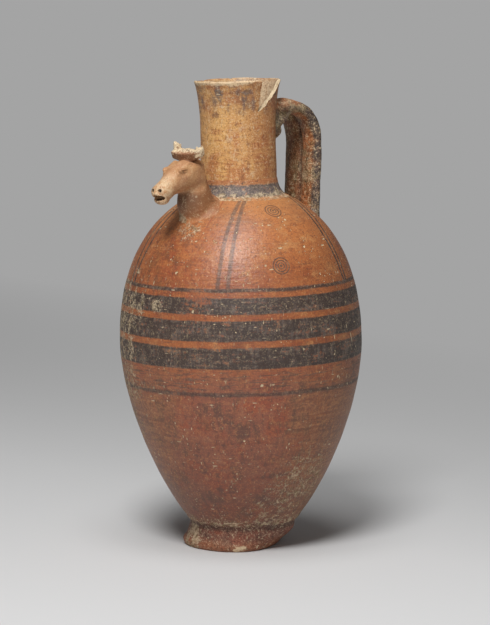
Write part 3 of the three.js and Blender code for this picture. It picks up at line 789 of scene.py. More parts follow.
def tone(red, green, blue):
    """A colour from screen values of 0 to 255."""
    screen = np.array([red, green, blue]) / 255
    linear = np.where(screen > 0.04045, ((screen + 0.055) / 1.055) ** 2.4, screen / 12.92)
    return (*linear.tolist(), 1.0)


MAUVE = tone(148, 88, 66)
BRICK = tone(154, 79, 53)
DUSK = tone(94, 66, 56)
ORANGE = tone(180, 111, 64)
RUST = tone(148, 79, 48)
SAND = tone(198, 142, 90)
OCHRE = tone(206, 152, 92)
GOLD = tone(220, 168, 102)
UMBER = tone(122, 80, 50)
TAN = tone(186, 138, 94)
ROSE = tone(174, 120, 87)
CREAM = tone(226, 202, 164)
CHALK = tone(208, 186, 154)
CRUST = tone(172, 152, 120)
OLIVE = tone(126, 108, 74)
INK = tone(55, 51, 49)
SMOKE = tone(92, 85, 80)
SLATE = tone(98, 96, 100)
SHADE = tone(46, 33, 26)

# Stretches of a noise: rings left by turning, and runs down the wall.
EVEN = (1, 1, 1)
WHEEL = (9, 9, 1)
RUNS = (0.8, 0.8, 7)

# Chips: length of a cell, share of cells that has one, size in cells, and the stretch of small ones.
SMALL_CHIPS = ((1.7, 0.2, 0.34, EVEN), (2.0, 0.12, 0.42, (2.4, 2.4, 0.7)), (1.5, 0.15, 0.5, (0.8, 0.8, 2.6)))
LARGE_CHIPS = (4.2, 0.16, 0.24)


class Field:
    """A value that changes over the surface. Sums and products of fields become nodes."""

    def __init__(self, clay, socket):
        self.clay = clay
        self.socket = socket

    def beside(self, name):
        """Another output of the same node."""
        return Field(self.clay, self.socket.node.outputs[name])

    def __add__(self, other):
        return self.clay.math("ADD", self, other)

    def __sub__(self, other):
        return self.clay.math("SUBTRACT", self, other)

    def __rsub__(self, other):
        return self.clay.math("SUBTRACT", other, self)

    def __mul__(self, other):
        return self.clay.math("MULTIPLY", self, other)

    def __abs__(self):
        return self.clay.math("ABSOLUTE", self)

    __radd__ = __add__
    __rmul__ = __mul__


class Clay:
    """The nodes of one material and its colour so far. Places are millimetres in the upright vessel."""

    def __init__(self, name, colour=SAND):
        self.material = bpy.data.materials.new(name)
        self.material.use_nodes = True
        self.nodes = self.material.node_tree.nodes
        self.links = self.material.node_tree.links
        self.shader = self.nodes["Principled BSDF"]
        self.colour = colour
        metres = self.add("ShaderNodeTexCoord", {}, "Object")
        self.measure(self.add("ShaderNodeVectorMath", {0: metres, "Scale": 1 / MM}, operation="SCALE"))

    def feed(self, node, inputs):
        """Joins a node's inputs to fields, or sets them to values."""
        for key, value in inputs.items():
            if isinstance(value, Field):
                self.links.new(value.socket, node.inputs[key])
            else:
                node.inputs[key].default_value = value

    def add(self, kind, inputs, output=0, **settings):
        """Adds a node and gives one of its outputs."""
        node = self.nodes.new(kind)
        for name, value in settings.items():
            setattr(node, name, value)
        self.feed(node, inputs)
        return Field(self, node.outputs[output])

    def measure(self, place):
        """Takes the places that all that follows is measured in."""
        self.place = place
        self.x = self.add("ShaderNodeSeparateXYZ", {0: place})
        self.y = self.x.beside("Y")
        self.z = self.x.beside("Z")

    def turn(self, degrees):
        """Measures from now on in a frame turned about the vessel's axis."""
        inputs = {"Vector": self.place, "Angle": math.radians(degrees)}
        self.measure(self.add("ShaderNodeVectorRotate", inputs, rotation_type="Z_AXIS"))

    def math(self, operation, *values):
        return self.add("ShaderNodeMath", dict(enumerate(values)), operation=operation)

    def moved(self, place, share, shift):
        """Places times a share, moved by a shift."""
        return self.add("ShaderNodeVectorMath", {0: place, 1: share, 2: shift}, operation="MULTIPLY_ADD")

    def scaled(self, length, stretch, seed):
        """Places in units of that length, longer along an axis whose stretch is larger."""
        share = tuple(1 / (length * s) for s in stretch)
        return self.moved(self.place, share, (seed * 7.3, seed * 3.1, seed * 5.7))

    def noise(self, length, seed, detail=3.0, stretch=EVEN):
        """Cloudy noise around zero, about as long as given."""
        place = self.scaled(length, stretch, seed)
        inputs = {"Vector": place, "Scale": 1, "Detail": detail, "Roughness": 0.6}
        return self.add("ShaderNodeTexNoise", inputs) - 0.5

    def specks(self, length, share, size, seed, stretch=EVEN):
        """Scattered marks: the share of cells that has one, and their size in cells."""
        spread = self.scaled(length, stretch, seed)
        warp = self.add("ShaderNodeTexNoise", {"Vector": spread, "Scale": 2.6}, "Color")
        bent = self.moved(warp, (0.5, 0.5, 0.5), spread)
        away = self.add("ShaderNodeTexVoronoi", {"Vector": bent, "Scale": 1}, "Distance")
        pick = self.add("ShaderNodeSeparateColor", {0: away.beside("Color")})
        chosen = (pick - (1 - share)) * (size / share)
        return self.ramp(chosen - away, 0, size * 0.35)

    def ramp(self, value, low, high, kind="SMOOTHSTEP"):
        """Nothing up to low, rising to one at high."""
        inputs = {"Value": value, "From Min": low, "From Max": high}
        return self.add("ShaderNodeMapRange", inputs, interpolation_type=kind)

    def fall(self, value, low, high):
        """One up to low, falling to nothing at high."""
        return 1 - self.ramp(value, low, high)

    def stripe(self, value, low, high, soft):
        """One between low and high, with edges as soft as given."""
        middle = (low + high) / 2
        return self.fall(abs(value - middle), (high - low) / 2 - soft, (high - low) / 2 + soft)

    def ease(self, value, half):
        """Rises from nothing towards one, and is a half at the value given."""
        return self.math("DIVIDE", value, value + half)

    def most(self, *fields):
        total = fields[0]
        for field in fields[1:]:
            total = self.math("MAXIMUM", total, field)
        return total

    def distance(self, place):
        return self.add("ShaderNodeVectorMath", {0: self.place, 1: place}, "Value", operation="DISTANCE")

    def around(self, place, reach):
        """One at a place, falling to nothing at its reach."""
        return self.fall(self.distance(place), reach * 0.3, reach)

    def patches(self, places):
        """The strongest of several patches, each given by its place, reach and strength."""
        return self.most(*[self.around(place, reach) * strength for place, reach, strength in places])

    def leftward(self):
        """Distance towards the more crusted side, at the left of the picture."""
        return self.x * CRUSTED_SIDE[0] + self.y * CRUSTED_SIDE[1]

    def mix(self, first, second, share):
        return self.add("ShaderNodeMix", {0: share, 6: first, 7: second}, 2, data_type="RGBA")

    def blend(self, first, second, value, low, high, strength=1):
        """The first colour, turning into the second where a value rises from low to high."""
        return self.mix(first, second, self.ramp(value, low, high) * strength)

    def lay(self, tint, share):
        """Lays a tint over the colour so far."""
        self.colour = self.mix(self.colour, tint, share)

    def stain(self, tint, value, low, high, strength=1):
        """Lays a tint where a value rises from low to high."""
        self.colour = self.blend(self.colour, tint, value, low, high, strength)

    def grain(self, dark, pale, seed, strength):
        """Lays fine dark and pale grain over the colour."""
        mark = 1.2 * self.noise(0.9, seed, detail=2) + 0.8 * self.noise(2.6, seed + 1)
        self.stain(dark, mark, 0.02, 0.32, 0.8 * strength)
        self.stain(pale, 0 - mark, 0.02, 0.32, 0.6 * strength)

    def crust(self, amount, seed):
        """Lays grains of grey-cream burial crust. Gives where they lie."""
        grain = self.noise(1.2, seed) + self.noise(5, seed + 1, detail=4)
        cover = self.ramp(grain + 0.5 * amount, 0.3, 0.54)
        dull = self.ramp(self.noise(2.2, seed + 2), -0.1, 0.14)
        self.lay(self.mix(CHALK, OLIVE, dull), cover * 0.72)
        return cover

    def flecks(self, amount, seed):
        """Lays small pale chips where the surface is gone. Gives where they are."""
        thin = self.ramp(self.noise(13, seed + 3), -0.16, 0.16)
        chips = self.specks(*LARGE_CHIPS, seed)
        for shift, (length, share, size, stretch) in zip((1, 2, 4), SMALL_CHIPS):
            chips = self.most(chips, self.specks(length, share, size, seed + shift, stretch) * thin)
        chips = chips * amount
        self.lay(self.mix(CRUST, CREAM, thin), chips)
        return chips

    def finish(self, roughness, height):
        """Sets the colour, the roughness and the height of the surface's grain in millimetres."""
        bump = self.add("ShaderNodeBump", {"Distance": MM, "Height": height})
        self.feed(self.shader, {"Base Color": self.colour, "Roughness": roughness, "Normal": bump})
        return self.material


# Painted pattern: heights of bands, lines and a brushed zone, and the circles' places, radii and half line.
DARK_BANDS = ((156.5, 166.5), (140.2, 152.7), (123.1, 136.2))
UPPER_LINE = (169.9, 172.1)
LOWER_LINE = (105.8, 108.4)
BRUSHED_ZONE = (107, 122)
COLLAR_BAND = (224.0, 231.4)
CIRCLES = ((-5.7, -41.5, 216.1), (-18.0, -64.0, 184.7))
CIRCLE_RADII = (1.9, 3.5, 5.2)
CIRCLE_LINE = 0.33

# Triangles under the lip: number, turn, pitch, heights of tip and base, half width per height.
TEETH = 10
TEETH_TURN = 0.764
TEETH_PITCH = 16.3
TEETH_TIP = 278.5
TEETH_BASE = 290.2
TEETH_SPREAD = 0.33

# Wear: direction of the crusted side, and patches of crust by place, reach and strength.
CRUSTED_SIDE = heading(142).tolist()
BODY_CRUST = (
    ((5.5, -50.7, 46), 42, 0.76),
    ((-10, -41.8, 28), 26, 0.7),
    ((28, -25, 30), 17, 0.9),
    ((-55.7, 24.5, 80), 22, 0.7),
    ((-63.5, 24, 104), 22, 0.75),
    ((-72.7, 15.4, 156), 26, 0.75),
    ((-73.3, -10.6, 160), 9, 0.8),
    ((-49, -31, 196), 12, 0.5),
    ((-51, -14, 206), 14, 0.8),
)
SPOUT_CRUST = (
    (tuple(MUZZLE + [5, 0, -5]), 7, 0.7),
    ((-49, 4, 211), 9, 1),
    ((-45, -2, 207), 9, 1),
    ((-50, 9, 207), 10, 0.7),
)


def shoulder_slip(clay):
    """Slip of the shoulder and the spout's stem: orange, rusty in patches, sandy where rubbed."""
    patch = clay.noise(34, 1, detail=4)
    blotch = clay.noise(9, 2, detail=5)
    wiped = clay.noise(5, 3, detail=4, stretch=WHEEL)
    strokes = clay.noise(1.6, 4, detail=4, stretch=WHEEL)
    clay.colour = ORANGE
    clay.stain(RUST, patch + 0.7 * blotch + 0.6 * wiped, -0.14, 0.2)
    clay.lay(RUST, clay.fall(clay.z + 34 * blotch, 172, 206) * 0.5)
    clay.stain(UMBER, strokes + 0.6 * patch, 0.0, 0.2, 0.4)
    clay.stain(SAND, blotch + 0.5 * wiped - 0.4 * patch, 0.04, 0.26, 0.65)
    clay.stain(SAND, clay.z + 40 * blotch, 198, 228, 0.55)
    return clay.colour


def lower_slip(clay):
    """Slip under the bands: dull red, dusky towards the foot, wiped in rings, with faint runs."""
    patch = clay.noise(26, 5, detail=4)
    wiped = clay.noise(3.2, 6, detail=4, stretch=WHEEL)
    runs = clay.noise(3.4, 18, stretch=RUNS)
    dull = clay.noise(15, 7, detail=5) + 0.5 * wiped + 0.7 * runs
    clay.colour = MAUVE
    clay.stain(BRICK, patch + 0.5 * wiped + 0.4 * runs, -0.06, 0.12)
    clay.stain(DUSK, dull, -0.02, 0.2, 0.75)
    clay.stain(ROSE, 0 - dull, 0.06, 0.3, 0.45)
    clay.stain(UMBER, clay.noise(14, 19, detail=4), 0.04, 0.24, 0.45)
    clay.lay(DUSK, clay.fall(clay.z + 40 * patch, 22, 92) * 0.5)
    return clay.colour


def ring_marks(clay, place, wobble):
    """Concentric circles drawn round a place."""
    away = clay.distance(place) + 0.5 * wobble
    rings = [clay.stripe(away, r - CIRCLE_LINE, r + CIRCLE_LINE, 0.16) for r in CIRCLE_RADII]
    return clay.most(clay.fall(away, 0.6, 0.95), *rings)


def shoulder_lines(clay, waver):
    """Line pairs that run from the collar to the bands, and the circles between them. Also a faint line."""
    x, y, z = clay.x, clay.y, clay.z
    beside = abs(y)
    down = SEAT_HEIGHT - z
    slanted = 0.513 * x + 0.858 * beside + 0.5 * waver
    near = clay.fall(y, -1, 1)
    forward = clay.fall(x, -14, -8)
    pair = [
        clay.stripe(slanted, 11.0, 13.4, 0.5),
        clay.stripe(slanted - 5.6 * clay.ease(down, 14), 12.9, 15.3, 0.5),
    ]
    back_pair = [
        clay.stripe(x - 0.22 * down + 0.5 * waver, 23.2, 24.8, 0.35),
        clay.stripe(x - 0.24 * down + 0.5 * waver, 18.8, 20.4, 0.35),
    ]
    front_pair = [
        clay.stripe(beside - 16.5 * clay.ease(down, 15) + 0.4 * waver, 10.2, 11.9, 0.35),
        clay.stripe(beside - 0.18 * down + 0.4 * waver, 9.2, 10.9, 0.35),
    ]
    far_side = forward * (1 - near)
    straight = clay.place
    clay.place = clay.add("ShaderNodeCombineXYZ", {0: x, 1: 0 - beside, 2: z})
    circles = [ring_marks(clay, place, waver) for place in CIRCLES]
    clay.place = straight
    faint = clay.stripe(beside - 14 * clay.ease(down, 9) + 0.4 * waver, 15.0, 16.0, 0.4)
    faint = faint * forward * near * clay.ramp(z, 196, 206)
    thin = back_pair + [line * far_side for line in front_pair]
    return clay.most(*[line * 0.66 for line in pair], *thin, *[c * 0.85 for c in circles]), faint


def body_paint(clay, blotch, fine, brush):
    """Where dark paint is left on the body, and where a faint line is."""
    waver = clay.noise(16, 10, detail=2)
    edge = clay.z + 1.1 * waver + 0.9 * fine
    bands = [clay.stripe(edge, low, high, 0.5) for low, high in DARK_BANDS]
    upper = clay.stripe(edge, *UPPER_LINE, 0.5) * 0.9
    lower = clay.stripe(edge + 0.6 * brush, *LOWER_LINE, 0.8) * 0.75
    streaks = clay.ramp(clay.noise(1.3, 17, stretch=WHEEL), 0.0, 0.12)
    brushed = clay.stripe(clay.z, *BRUSHED_ZONE, 2) * streaks * 0.6
    lines, faint = shoulder_lines(clay, waver)
    lines = lines * clay.ramp(clay.z, 170.5, 171.5)
    rust_patch = clay.around((-64, -36, 163), 13)
    worn = clay.ramp(0.8 * fine + 0.6 * blotch + 0.7 * brush + 0.16 * rust_patch, 0.04, 0.3) * 0.75
    return clay.most(*bands, upper, lower, brushed, lines) * (1 - worn), faint


def body_material():
    """Painted body: two slips, stains, the dark pattern, crust and chips."""
    clay = Clay("painted_body")
    z = clay.z
    left = clay.leftward()
    blotch = clay.noise(9, 2, detail=5)
    fine = clay.noise(1.8, 8, detail=4)
    brush = clay.noise(1.8, 9, detail=4, stretch=WHEEL)
    paint, faint = body_paint(clay, blotch, fine, brush)
    high = clay.ramp(z + 22 * blotch + 14 * brush, 106, 134)
    clay.colour = clay.mix(lower_slip(clay), shoulder_slip(clay), high)
    # Browner and sandier on the lower belly's sides at both edges of the view: partly painted shade of the
    # sides turning away.
    browned_and_side_shade = clay.ramp(abs(left - 6) + 44 * blotch, 20, 52) * clay.fall(z, 96, 128)
    clay.lay(clay.blend(UMBER, SAND, brush + fine, -0.16, 0.3), browned_and_side_shade * 0.5)
    # Painted shade: darker towards the right of the view, the side turned from the key lamp.
    clay.stain(UMBER, 0 - left, 36, 74, 0.4)
    clay.lay(RUST, faint * 0.7)
    reddened = clay.around((-66, -20, 183), 44) * clay.ramp(blotch + brush, -0.2, 0.12)
    clay.lay(BRICK, reddened * 0.55)
    runs = clay.ramp(clay.noise(5, 47, stretch=RUNS) + 0.5 * brush, -0.06, 0.16)
    stained = clay.around((-72, 0, 186), 52) * runs
    clay.lay(clay.blend(UMBER, DUSK, blotch, -0.1, 0.2), stained * 0.6)
    clay.stain(DUSK, clay.noise(0.8, 16, stretch=WHEEL), 0.02, 0.2, 0.3)
    clay.grain(DUSK, SAND, 11, 0.8)

    ground = clay.colour
    clay.colour = INK
    clay.stain(SMOKE, brush + blotch + clay.noise(2, 40, stretch=RUNS), -0.1, 0.26)
    clay.grain(SHADE, CRUST, 15, 0.75)
    clay.colour = clay.mix(ground, clay.colour, paint * 0.93)

    dirt = clay.most(
        clay.patches(BODY_CRUST),
        clay.ramp(left + 34 * blotch, 52, 74) * 0.82,
        clay.fall(z, 19, 34) * 0.75,
        clay.ramp(clay.noise(44, 12), 0.02, 0.3) * 0.5,
    )
    cover = clay.crust(dirt, 13)
    chips = clay.flecks(0.95, 14)
    polish = 0.1 * clay.ramp(z + 30 * blotch, 166, 196)
    roughness = 0.47 - polish + 0.3 * fine + 0.3 * cover + 0.1 * paint
    return clay.finish(roughness, 0.24 * fine + 0.26 * brush + 0.26 * cover - 0.35 * chips + 0.04 * paint)


def neck_teeth(clay, fine):
    """Pendant triangles under the lip."""
    turn = clay.math("ARCTAN2", clay.y, clay.x) * (TEETH / (2 * math.pi)) + TEETH_TURN
    across = abs(clay.math("FRACT", turn) - 0.5) * TEETH_PITCH
    half = (clay.z - TEETH_TIP) * TEETH_SPREAD
    under_lip = clay.fall(clay.z + fine, TEETH_BASE, TEETH_BASE + 1.2)
    return clay.ramp(half - across + 1.4 * fine, 0.0, 0.9) * under_lip


def neck_material():
    """Ochre neck, smoked under the lip, with dark triangles, a bare lip and a streaked inside."""
    clay = Clay("painted_neck", OCHRE)
    x, y, z = clay.x, clay.y, clay.z
    patch = clay.noise(22, 21, detail=4)
    blotch = clay.noise(6, 22, detail=5)
    fine = clay.noise(1.7, 23, detail=4)
    runs = clay.noise(3.4, 24, detail=4, stretch=RUNS)
    wiped = clay.noise(1.6, 28, stretch=WHEEL)
    clay.stain(GOLD, patch + 0.6 * blotch, -0.1, 0.16)
    clay.stain(ORANGE, clay.noise(13, 25, detail=4) + 0.5 * wiped, -0.06, 0.14, 0.75)
    clay.stain(UMBER, blotch + 0.6 * runs + 0.4 * wiped, 0.04, 0.28, 0.6)
    clay.stain(CHALK, 0 - blotch - 0.5 * runs + 0.5 * fine, 0.06, 0.3, 0.6)
    clay.stain(RUST, 40 * patch + 30 * runs - clay.leftward(), -2, 18, 0.5)
    smoked = clay.ramp(z + 16 * blotch, 270, 286)
    clay.lay(UMBER, smoked * (0.2 + clay.ramp(wiped + blotch, -0.1, 0.2) * 0.4))
    clay.lay(SLATE, smoked * clay.ramp(runs + blotch, -0.04, 0.24) * 0.4)

    clay.lay(RUST, clay.stripe(z + 0.8 * patch, 232.6, 234.8, 0.9) * 0.3)
    paint = neck_teeth(clay, fine) * clay.ramp(blotch + 0.9 * fine, -0.16, 0.24) * 0.75
    clay.lay(clay.blend(INK, SLATE, fine, -0.15, 0.15), paint)
    from_axis = clay.math("SQRT", x * x + y * y)
    inside = clay.fall(from_axis - 0.1 * (z - WAIST_HEIGHT), 20.8, 22.4)
    streaks = clay.ramp(clay.noise(1.6, 20, stretch=RUNS), -0.1, 0.2)
    clay.lay(clay.mix(CHALK, UMBER, streaks * 0.5), inside * 0.85)
    bare = 2.2 * clay.ramp(0 - 0.95 * x - 0.3 * y, 12, 22)
    clay.stain(CREAM, z + 3 * blotch + 3 * fine + bare, LIP_HEIGHT - 1.2, LIP_HEIGHT + 0.2, 0.7)
    clay.grain(UMBER, CREAM, 30, 0.9)
    cover = clay.crust(clay.ramp(clay.noise(24, 26), 0.0, 0.3) * 0.6, 27)
    chips = clay.flecks(0.65, 34)
    height = 0.3 * fine + 0.2 * blotch + 0.2 * wiped + 0.2 * cover - 0.25 * chips
    return clay.finish(0.58 + 0.3 * fine + 0.2 * cover, height)


def fracture_material():
    """Pale inner clay of the broken lip."""
    clay = Clay("broken_clay", CHALK)
    coarse = clay.noise(2.6, 31, detail=5, stretch=(1, 1, 2.5))
    fine = clay.noise(0.9, 32, detail=4)
    clay.stain(CRUST, coarse, -0.1, 0.16)
    clay.stain(UMBER, fine + coarse, 0.06, 0.3, 0.55)
    return clay.finish(0.85 + 0.2 * fine, 0.35 * coarse + 0.2 * fine)


def collar_material():
    """Shoulder's slip with a worn dark band and crust."""
    clay = Clay("painted_collar")
    blotch = clay.noise(5, 41, detail=5)
    fine = clay.noise(1.6, 42, detail=4)
    edge = clay.z + 1.8 * clay.noise(10, 43) + 1.4 * fine
    worn = clay.ramp(blotch + 0.7 * fine, 0.04, 0.28) * 0.8
    paint = clay.stripe(edge, *COLLAR_BAND, 0.7) * (1 - worn)
    shoulder_slip(clay)
    clay.stain(RUST, edge, COLLAR_BAND[1], COLLAR_BAND[1] + 1, 0.35)
    clay.lay(clay.blend(SMOKE, SLATE, blotch + fine, -0.14, 0.2), paint * 0.92)
    clay.grain(INK, CHALK, 46, 0.9)
    low_edge = clay.stripe(edge, COLLAR_BAND[0] - 2, COLLAR_BAND[0] + 2, 1.5)
    cover = clay.crust(clay.ramp(clay.noise(11, 44) + 0.3 * low_edge, -0.06, 0.25) * 0.9, 45)
    return clay.finish(0.6 + 0.25 * fine + 0.2 * cover, 0.16 * fine + 0.2 * cover)


def spout_material():
    """Bare tan head over a browner throat, with painted shade under the jaw and in the mouth, nostrils and
    eye slits, running into the shoulder's slip.
    """
    clay = Clay("spout_clay")
    shoulder_slip(clay)
    clay.turn(-SPOUT_TURN)
    x, z = clay.x, clay.z
    patch = clay.noise(9, 61, detail=4)
    blotch = clay.noise(5, 51, detail=5)
    fine = clay.noise(1.6, 62, detail=4)
    clay.stain(SAND, blotch + 0.5 * fine, -0.1, 0.2, 0.4)
    # Painted shade: the throat browns towards its top and darkens under the jaw, where the jaw shades it.
    clay.stain(UMBER, z + 18 * blotch, 206, 226, 0.75)
    clay.lay(SHADE, clay.around((-49, 0, 224), 13) * 0.5)

    skin_tone = clay.blend(TAN, ROSE, patch, -0.16, 0.2, 0.6)
    skin_tone = clay.blend(skin_tone, UMBER, blotch + 0.5 * fine, 0.1, 0.34, 0.3)
    # The tan face is laid only above the jaw line and before the nape; the throat's brown left below and
    # behind the cheek is partly painted shade.
    above_jaw = z - 0.12 * (x + 44) + 14 * clay.ramp(0 - x, 53, 60)
    before_nape = clay.fall(x - 0.25 * (z - 237) + 6 * patch, -41, -35)
    clay.lay(skin_tone, clay.ramp(above_jaw + 5 * patch, 226.5, 231) * before_nape)
    nose = clay.fall(x + 6 * patch, MUZZLE[0] + 4, MUZZLE[0] + 13)
    clay.lay(CREAM, nose * clay.ramp(fine + blotch, -0.2, 0.14) * 0.6)
    # Painted shade: dark in the mouth, the nostrils and the eyes' slits.
    hollow_shade = [clay.ramp(clay.around(tuple(MUZZLE + [3, 0, -0.8]), 5.2), 0.35, 0.8)]
    eye_slit = on_head(*EYE_PLACE, EYE_SIDE + 1.7) - [1.0, 0, 0.2]
    nostril = MUZZLE + NOSTRIL + [1.2, 0, 0]
    for place, reach in ((eye_slit, 1.2), (nostril, 2.1)):
        hollow_shade += [clay.around(tuple(place * [1, side, 1]), reach) for side in (LEFT, RIGHT)]
    clay.lay(SHADE, clay.most(*hollow_shade) * 0.9)
    clay.grain(UMBER, CREAM, 65, 0.55)
    cover = clay.crust(clay.patches(SPOUT_CRUST), 63)
    chips = clay.flecks(0.4, 67)
    return clay.finish(0.6 + 0.25 * fine + 0.2 * cover, 0.1 * fine + 0.18 * cover - 0.15 * chips)


def crest_material():
    """Ear roll: brown, darker low on its front face as painted shade under the overhang, with a torn pale
    top whose small holes are dark specks of painted shade.
    """
    clay = Clay("crest_clay", UMBER)
    fine = clay.noise(1.2, 52, detail=4)
    above = clay.z - EAR_MIDDLE[2]
    # Painted shade: umber low on the front face, rosier above, as the overhang shades its lower part.
    clay.stain(ROSE, above + 4 * fine, 0.4, 2.2, 0.7)
    # Dark specks in the torn top are painted shade in small holes.
    torn = clay.blend(CHALK, SHADE, clay.noise(1.5, 54), 0.06, 0.16, 0.8)
    clay.stain(torn, above + 5 * fine, 1.6, 3.0)
    clay.grain(UMBER, CREAM, 55, 0.6)
    return clay.finish(0.75 + 0.2 * fine, 0.2 * fine)


def stump_material():
    """Pale broken clay of the horns."""
    clay = Clay("stump_clay", CREAM)
    fine = clay.noise(1.1, 71, detail=4)
    clay.stain(CHALK, fine, -0.1, 0.1)
    clay.stain(UMBER, clay.noise(1.8, 72, detail=4), 0.02, 0.16, 0.75)
    return clay.finish(0.8 + 0.2 * fine, 0.25 * fine)


def handle_material():
    """Rolls of the handle: red-brown, dark along the outer sides, rubbed pale in patches, with painted shade
    in the groove between them and over the far roll.
    """
    clay = Clay("handle_clay", ORANGE)
    x, y, z = clay.x, clay.y, clay.z
    patch = clay.noise(15, 81, detail=4)
    blotch = clay.noise(5, 82, detail=5)
    fine = clay.noise(1.6, 83, detail=4)
    clay.stain(UMBER, patch, -0.14, 0.1, 0.8)
    clay.stain(OLIVE, blotch + 0.5 * patch, -0.04, 0.2, 0.7)
    side = clay.ramp(abs(y) + 8 * patch + 3 * fine, 12.2, 14.8)
    side = side * (0.35 + 0.65 * clay.ramp(x + 10 * patch, 34, 46))
    paint = side * (1 - clay.ramp(blotch + 0.8 * fine, 0.0, 0.28) * 0.85)
    clay.lay(clay.blend(INK, SMOKE, blotch + fine, -0.1, 0.2), paint * 0.88)
    rubbed = clay.blend(CREAM, OLIVE, fine + 0.5 * blotch, -0.12, 0.16)
    clay.stain(rubbed, clay.noise(14, 84, detail=5) + 0.5 * fine, 0.0, 0.22, 0.85)
    corner = clay.fall(x, 32, 40) * clay.fall(z, HANDLE_ARCH - 5, HANDLE_ARCH + 1)
    clay.lay(clay.blend(SMOKE, OLIVE, blotch, -0.1, 0.14), corner * 0.65)
    # Painted shade in the groove between the two rolls.
    between = clay.fall(abs(y), 0.5, 2.6) * clay.ramp(x, 30, 34)
    clay.lay(SHADE, between * 0.55)
    # Painted shade: the far roll is laid darker all over than the near one.
    clay.lay(clay.blend(UMBER, OLIVE, blotch + patch, -0.16, 0.16), clay.ramp(y, 0, 3) * 0.75)
    clay.grain(SHADE, CREAM, 89, 1.1)
    cover = clay.crust(clay.ramp(clay.noise(18, 85), -0.04, 0.28) * 0.75, 86)
    chips = clay.flecks(0.8, 87)
    return clay.finish(0.58 + 0.25 * fine + 0.2 * cover, 0.18 * fine + 0.2 * cover - 0.25 * chips)


def foot_material():
    """Foot: the lower slip, a groove darkened as painted shade under a crusted seam, and a bare chip on the
    rim.
    """
    clay = Clay("foot_clay")
    z = clay.z
    blotch = clay.noise(7, 91, detail=5)
    fine = clay.noise(1.7, 92, detail=4)
    lower_slip(clay)
    clay.stain(BRICK, blotch, -0.1, 0.2, 0.6)
    clay.lay(ORANGE, clay.fall(z + 14 * blotch, 2, 9) * 0.35)
    # Painted shade: the groove between foot and body is darkened; the same mask also lays crust there.
    groove = clay.stripe(z + 2.5 * fine, 13.5, 17.5, 1.6)
    clay.lay(SHADE, groove * 0.6)
    clay.grain(SHADE, CHALK, 99, 1.0)
    seam = clay.stripe(z + 5 * blotch, 16.5, 21.5, 1.5)
    spread = clay.ramp(clay.noise(13, 93), -0.06, 0.25) * 0.85
    cover = clay.crust(clay.most(spread, groove * 0.45, seam * 0.9, clay.around((-33, 6.7, 7), 17)), 94)
    ragged = clay.around((-21, -25.5, 2.2), 8) + 2.6 * fine + 2 * blotch
    bare = clay.ramp(ragged, 0.66, 0.85) * clay.stripe(z + 2 * blotch, 0.4, 4.0, 0.6)
    clay.lay(CREAM, bare * 0.75)
    chips = clay.flecks(0.85, 95)
    return clay.finish(0.62 + 0.25 * fine + 0.2 * cover, 0.16 * fine + 0.24 * cover - 0.3 * chips)


# Stage, light and camera

# The camera's places are in metres. Its focal length and the shifts of its aim are in pixels of the
# picture, its sensor in millimetres.
VIEW_AZIMUTH = math.radians(-38)
VIEW_DIRECTION = np.array([-math.sin(VIEW_AZIMUTH), math.cos(VIEW_AZIMUTH)])
VIEW_RIGHT = np.array([math.cos(VIEW_AZIMUTH), math.sin(VIEW_AZIMUTH)])
VIEW_PITCH = math.radians(7.36)
CAMERA_DISTANCE = 1.74
CAMERA_HEIGHT = 0.375
PICTURE_HEIGHT = 625
FOCAL_LENGTH = 2767
SHIFT_RIGHT = 4
SHIFT_DOWN = 2.9
SENSOR = 36

# The floor's half size is in metres. The backdrop's slant is a share, its start and full depth millimetres.
FLOOR_HALF = 60.0
PAPER_TONE = tone(214, 214, 214)
BACKDROP_TONE = tone(164, 164, 164)
BACKDROP_SLANT = 1.2
BACKDROP_START = 100
BACKDROP_FULL = 1150

SKY_STRENGTH = 0.1
# Lamps: name, place, aim, size and power.
LAMPS = (
    ("key", (-0.8, -0.65, 1.4), (0, 0, 0.17), 0.5, 20),
    ("top", (-0.3, -0.3, 1.7), (0, 0, 0.1), 0.9, 9),
    ("low", (-0.75, -1.6, 0.5), (0, 0, 0.1), 0.6, 2),
)


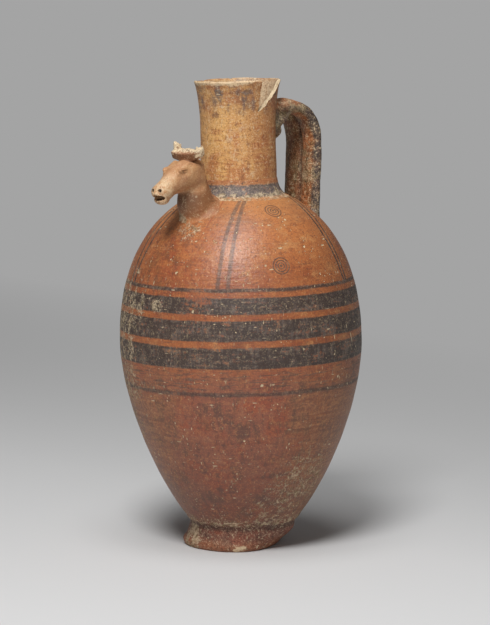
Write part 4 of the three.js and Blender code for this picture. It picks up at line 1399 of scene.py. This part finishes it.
def paper_material():
    """Pale paper. Its far part is seen, and mirrored, as an even grey backdrop."""
    paper = Clay("paper")
    paper.feed(paper.shader, {"Base Color": PAPER_TONE, "Roughness": 0.9, "Specular IOR Level": 0.15})
    sheet = Field(paper, paper.shader.outputs[0])
    backdrop = paper.add("ShaderNodeEmission", {"Color": BACKDROP_TONE})
    slant = (VIEW_DIRECTION + BACKDROP_SLANT * VIEW_RIGHT).tolist()
    behind = paper.x * slant[0] + paper.y * slant[1]
    kinds = ("Is Camera Ray", "Is Glossy Ray", "Is Transmission Ray")
    path = paper.add("ShaderNodeLightPath", {})
    looking = paper.most(*[path.beside(kind) for kind in kinds])
    seen = paper.ramp(behind, BACKDROP_START, BACKDROP_FULL, "LINEAR") * looking
    blend = paper.add("ShaderNodeMixShader", {0: seen, 1: sheet, 2: backdrop})
    paper.feed(paper.nodes["Material Output"], {"Surface": blend})
    return paper.material


def make_floor(material):
    """A wide sheet that fills the picture."""
    half = FLOOR_HALF / MM
    corners = [(-half, -half, 0), (half, -half, 0), (half, half, 0), (-half, half, 0)]
    floor = add_object("floor", new_mesh("floor", corners, [(0, 1, 2, 3)], material))


def add_lamp(name, place, aim, size, power):
    lamp = bpy.data.lights.new(name, "AREA")
    lamp.shape = "DISK"
    lamp.size = size
    lamp.energy = power
    holder = add_object(name, lamp)
    holder.location = place
    holder.rotation_euler = (Vector(aim) - Vector(place)).to_track_quat("-Z", "Y").to_euler()


def make_light():
    world = bpy.data.worlds.new("studio")
    world.use_nodes = True
    sky = world.node_tree.nodes["Background"]
    sky.inputs["Color"].default_value = (1, 1, 1, 1)
    sky.inputs["Strength"].default_value = SKY_STRENGTH
    bpy.context.scene.world = world
    for lamp in LAMPS:
        add_lamp(*lamp)


def make_camera():
    """Stands where the photograph was taken from."""
    yaw = VIEW_AZIMUTH - math.atan(SHIFT_RIGHT / FOCAL_LENGTH)
    pitch = VIEW_PITCH + math.atan(SHIFT_DOWN / FOCAL_LENGTH)
    camera = bpy.data.cameras.new("camera")
    camera.sensor_width = SENSOR
    camera.lens = SENSOR * FOCAL_LENGTH / PICTURE_HEIGHT
    holder = add_object("camera", camera)
    holder.location = (*(-CAMERA_DISTANCE * VIEW_DIRECTION), CAMERA_HEIGHT)
    holder.rotation_euler = (math.pi / 2 - pitch, 0, yaw)
    bpy.context.scene.camera = holder


make_body(body_material())
make_neck(neck_material(), fracture_material())
make_collar(collar_material())
make_foot(foot_material())
make_spout(spout_material(), crest_material(), stump_material())
make_handle(handle_material())
make_floor(paper_material())
make_light()
make_camera()
bpy.context.scene.view_settings.view_transform = "Standard"
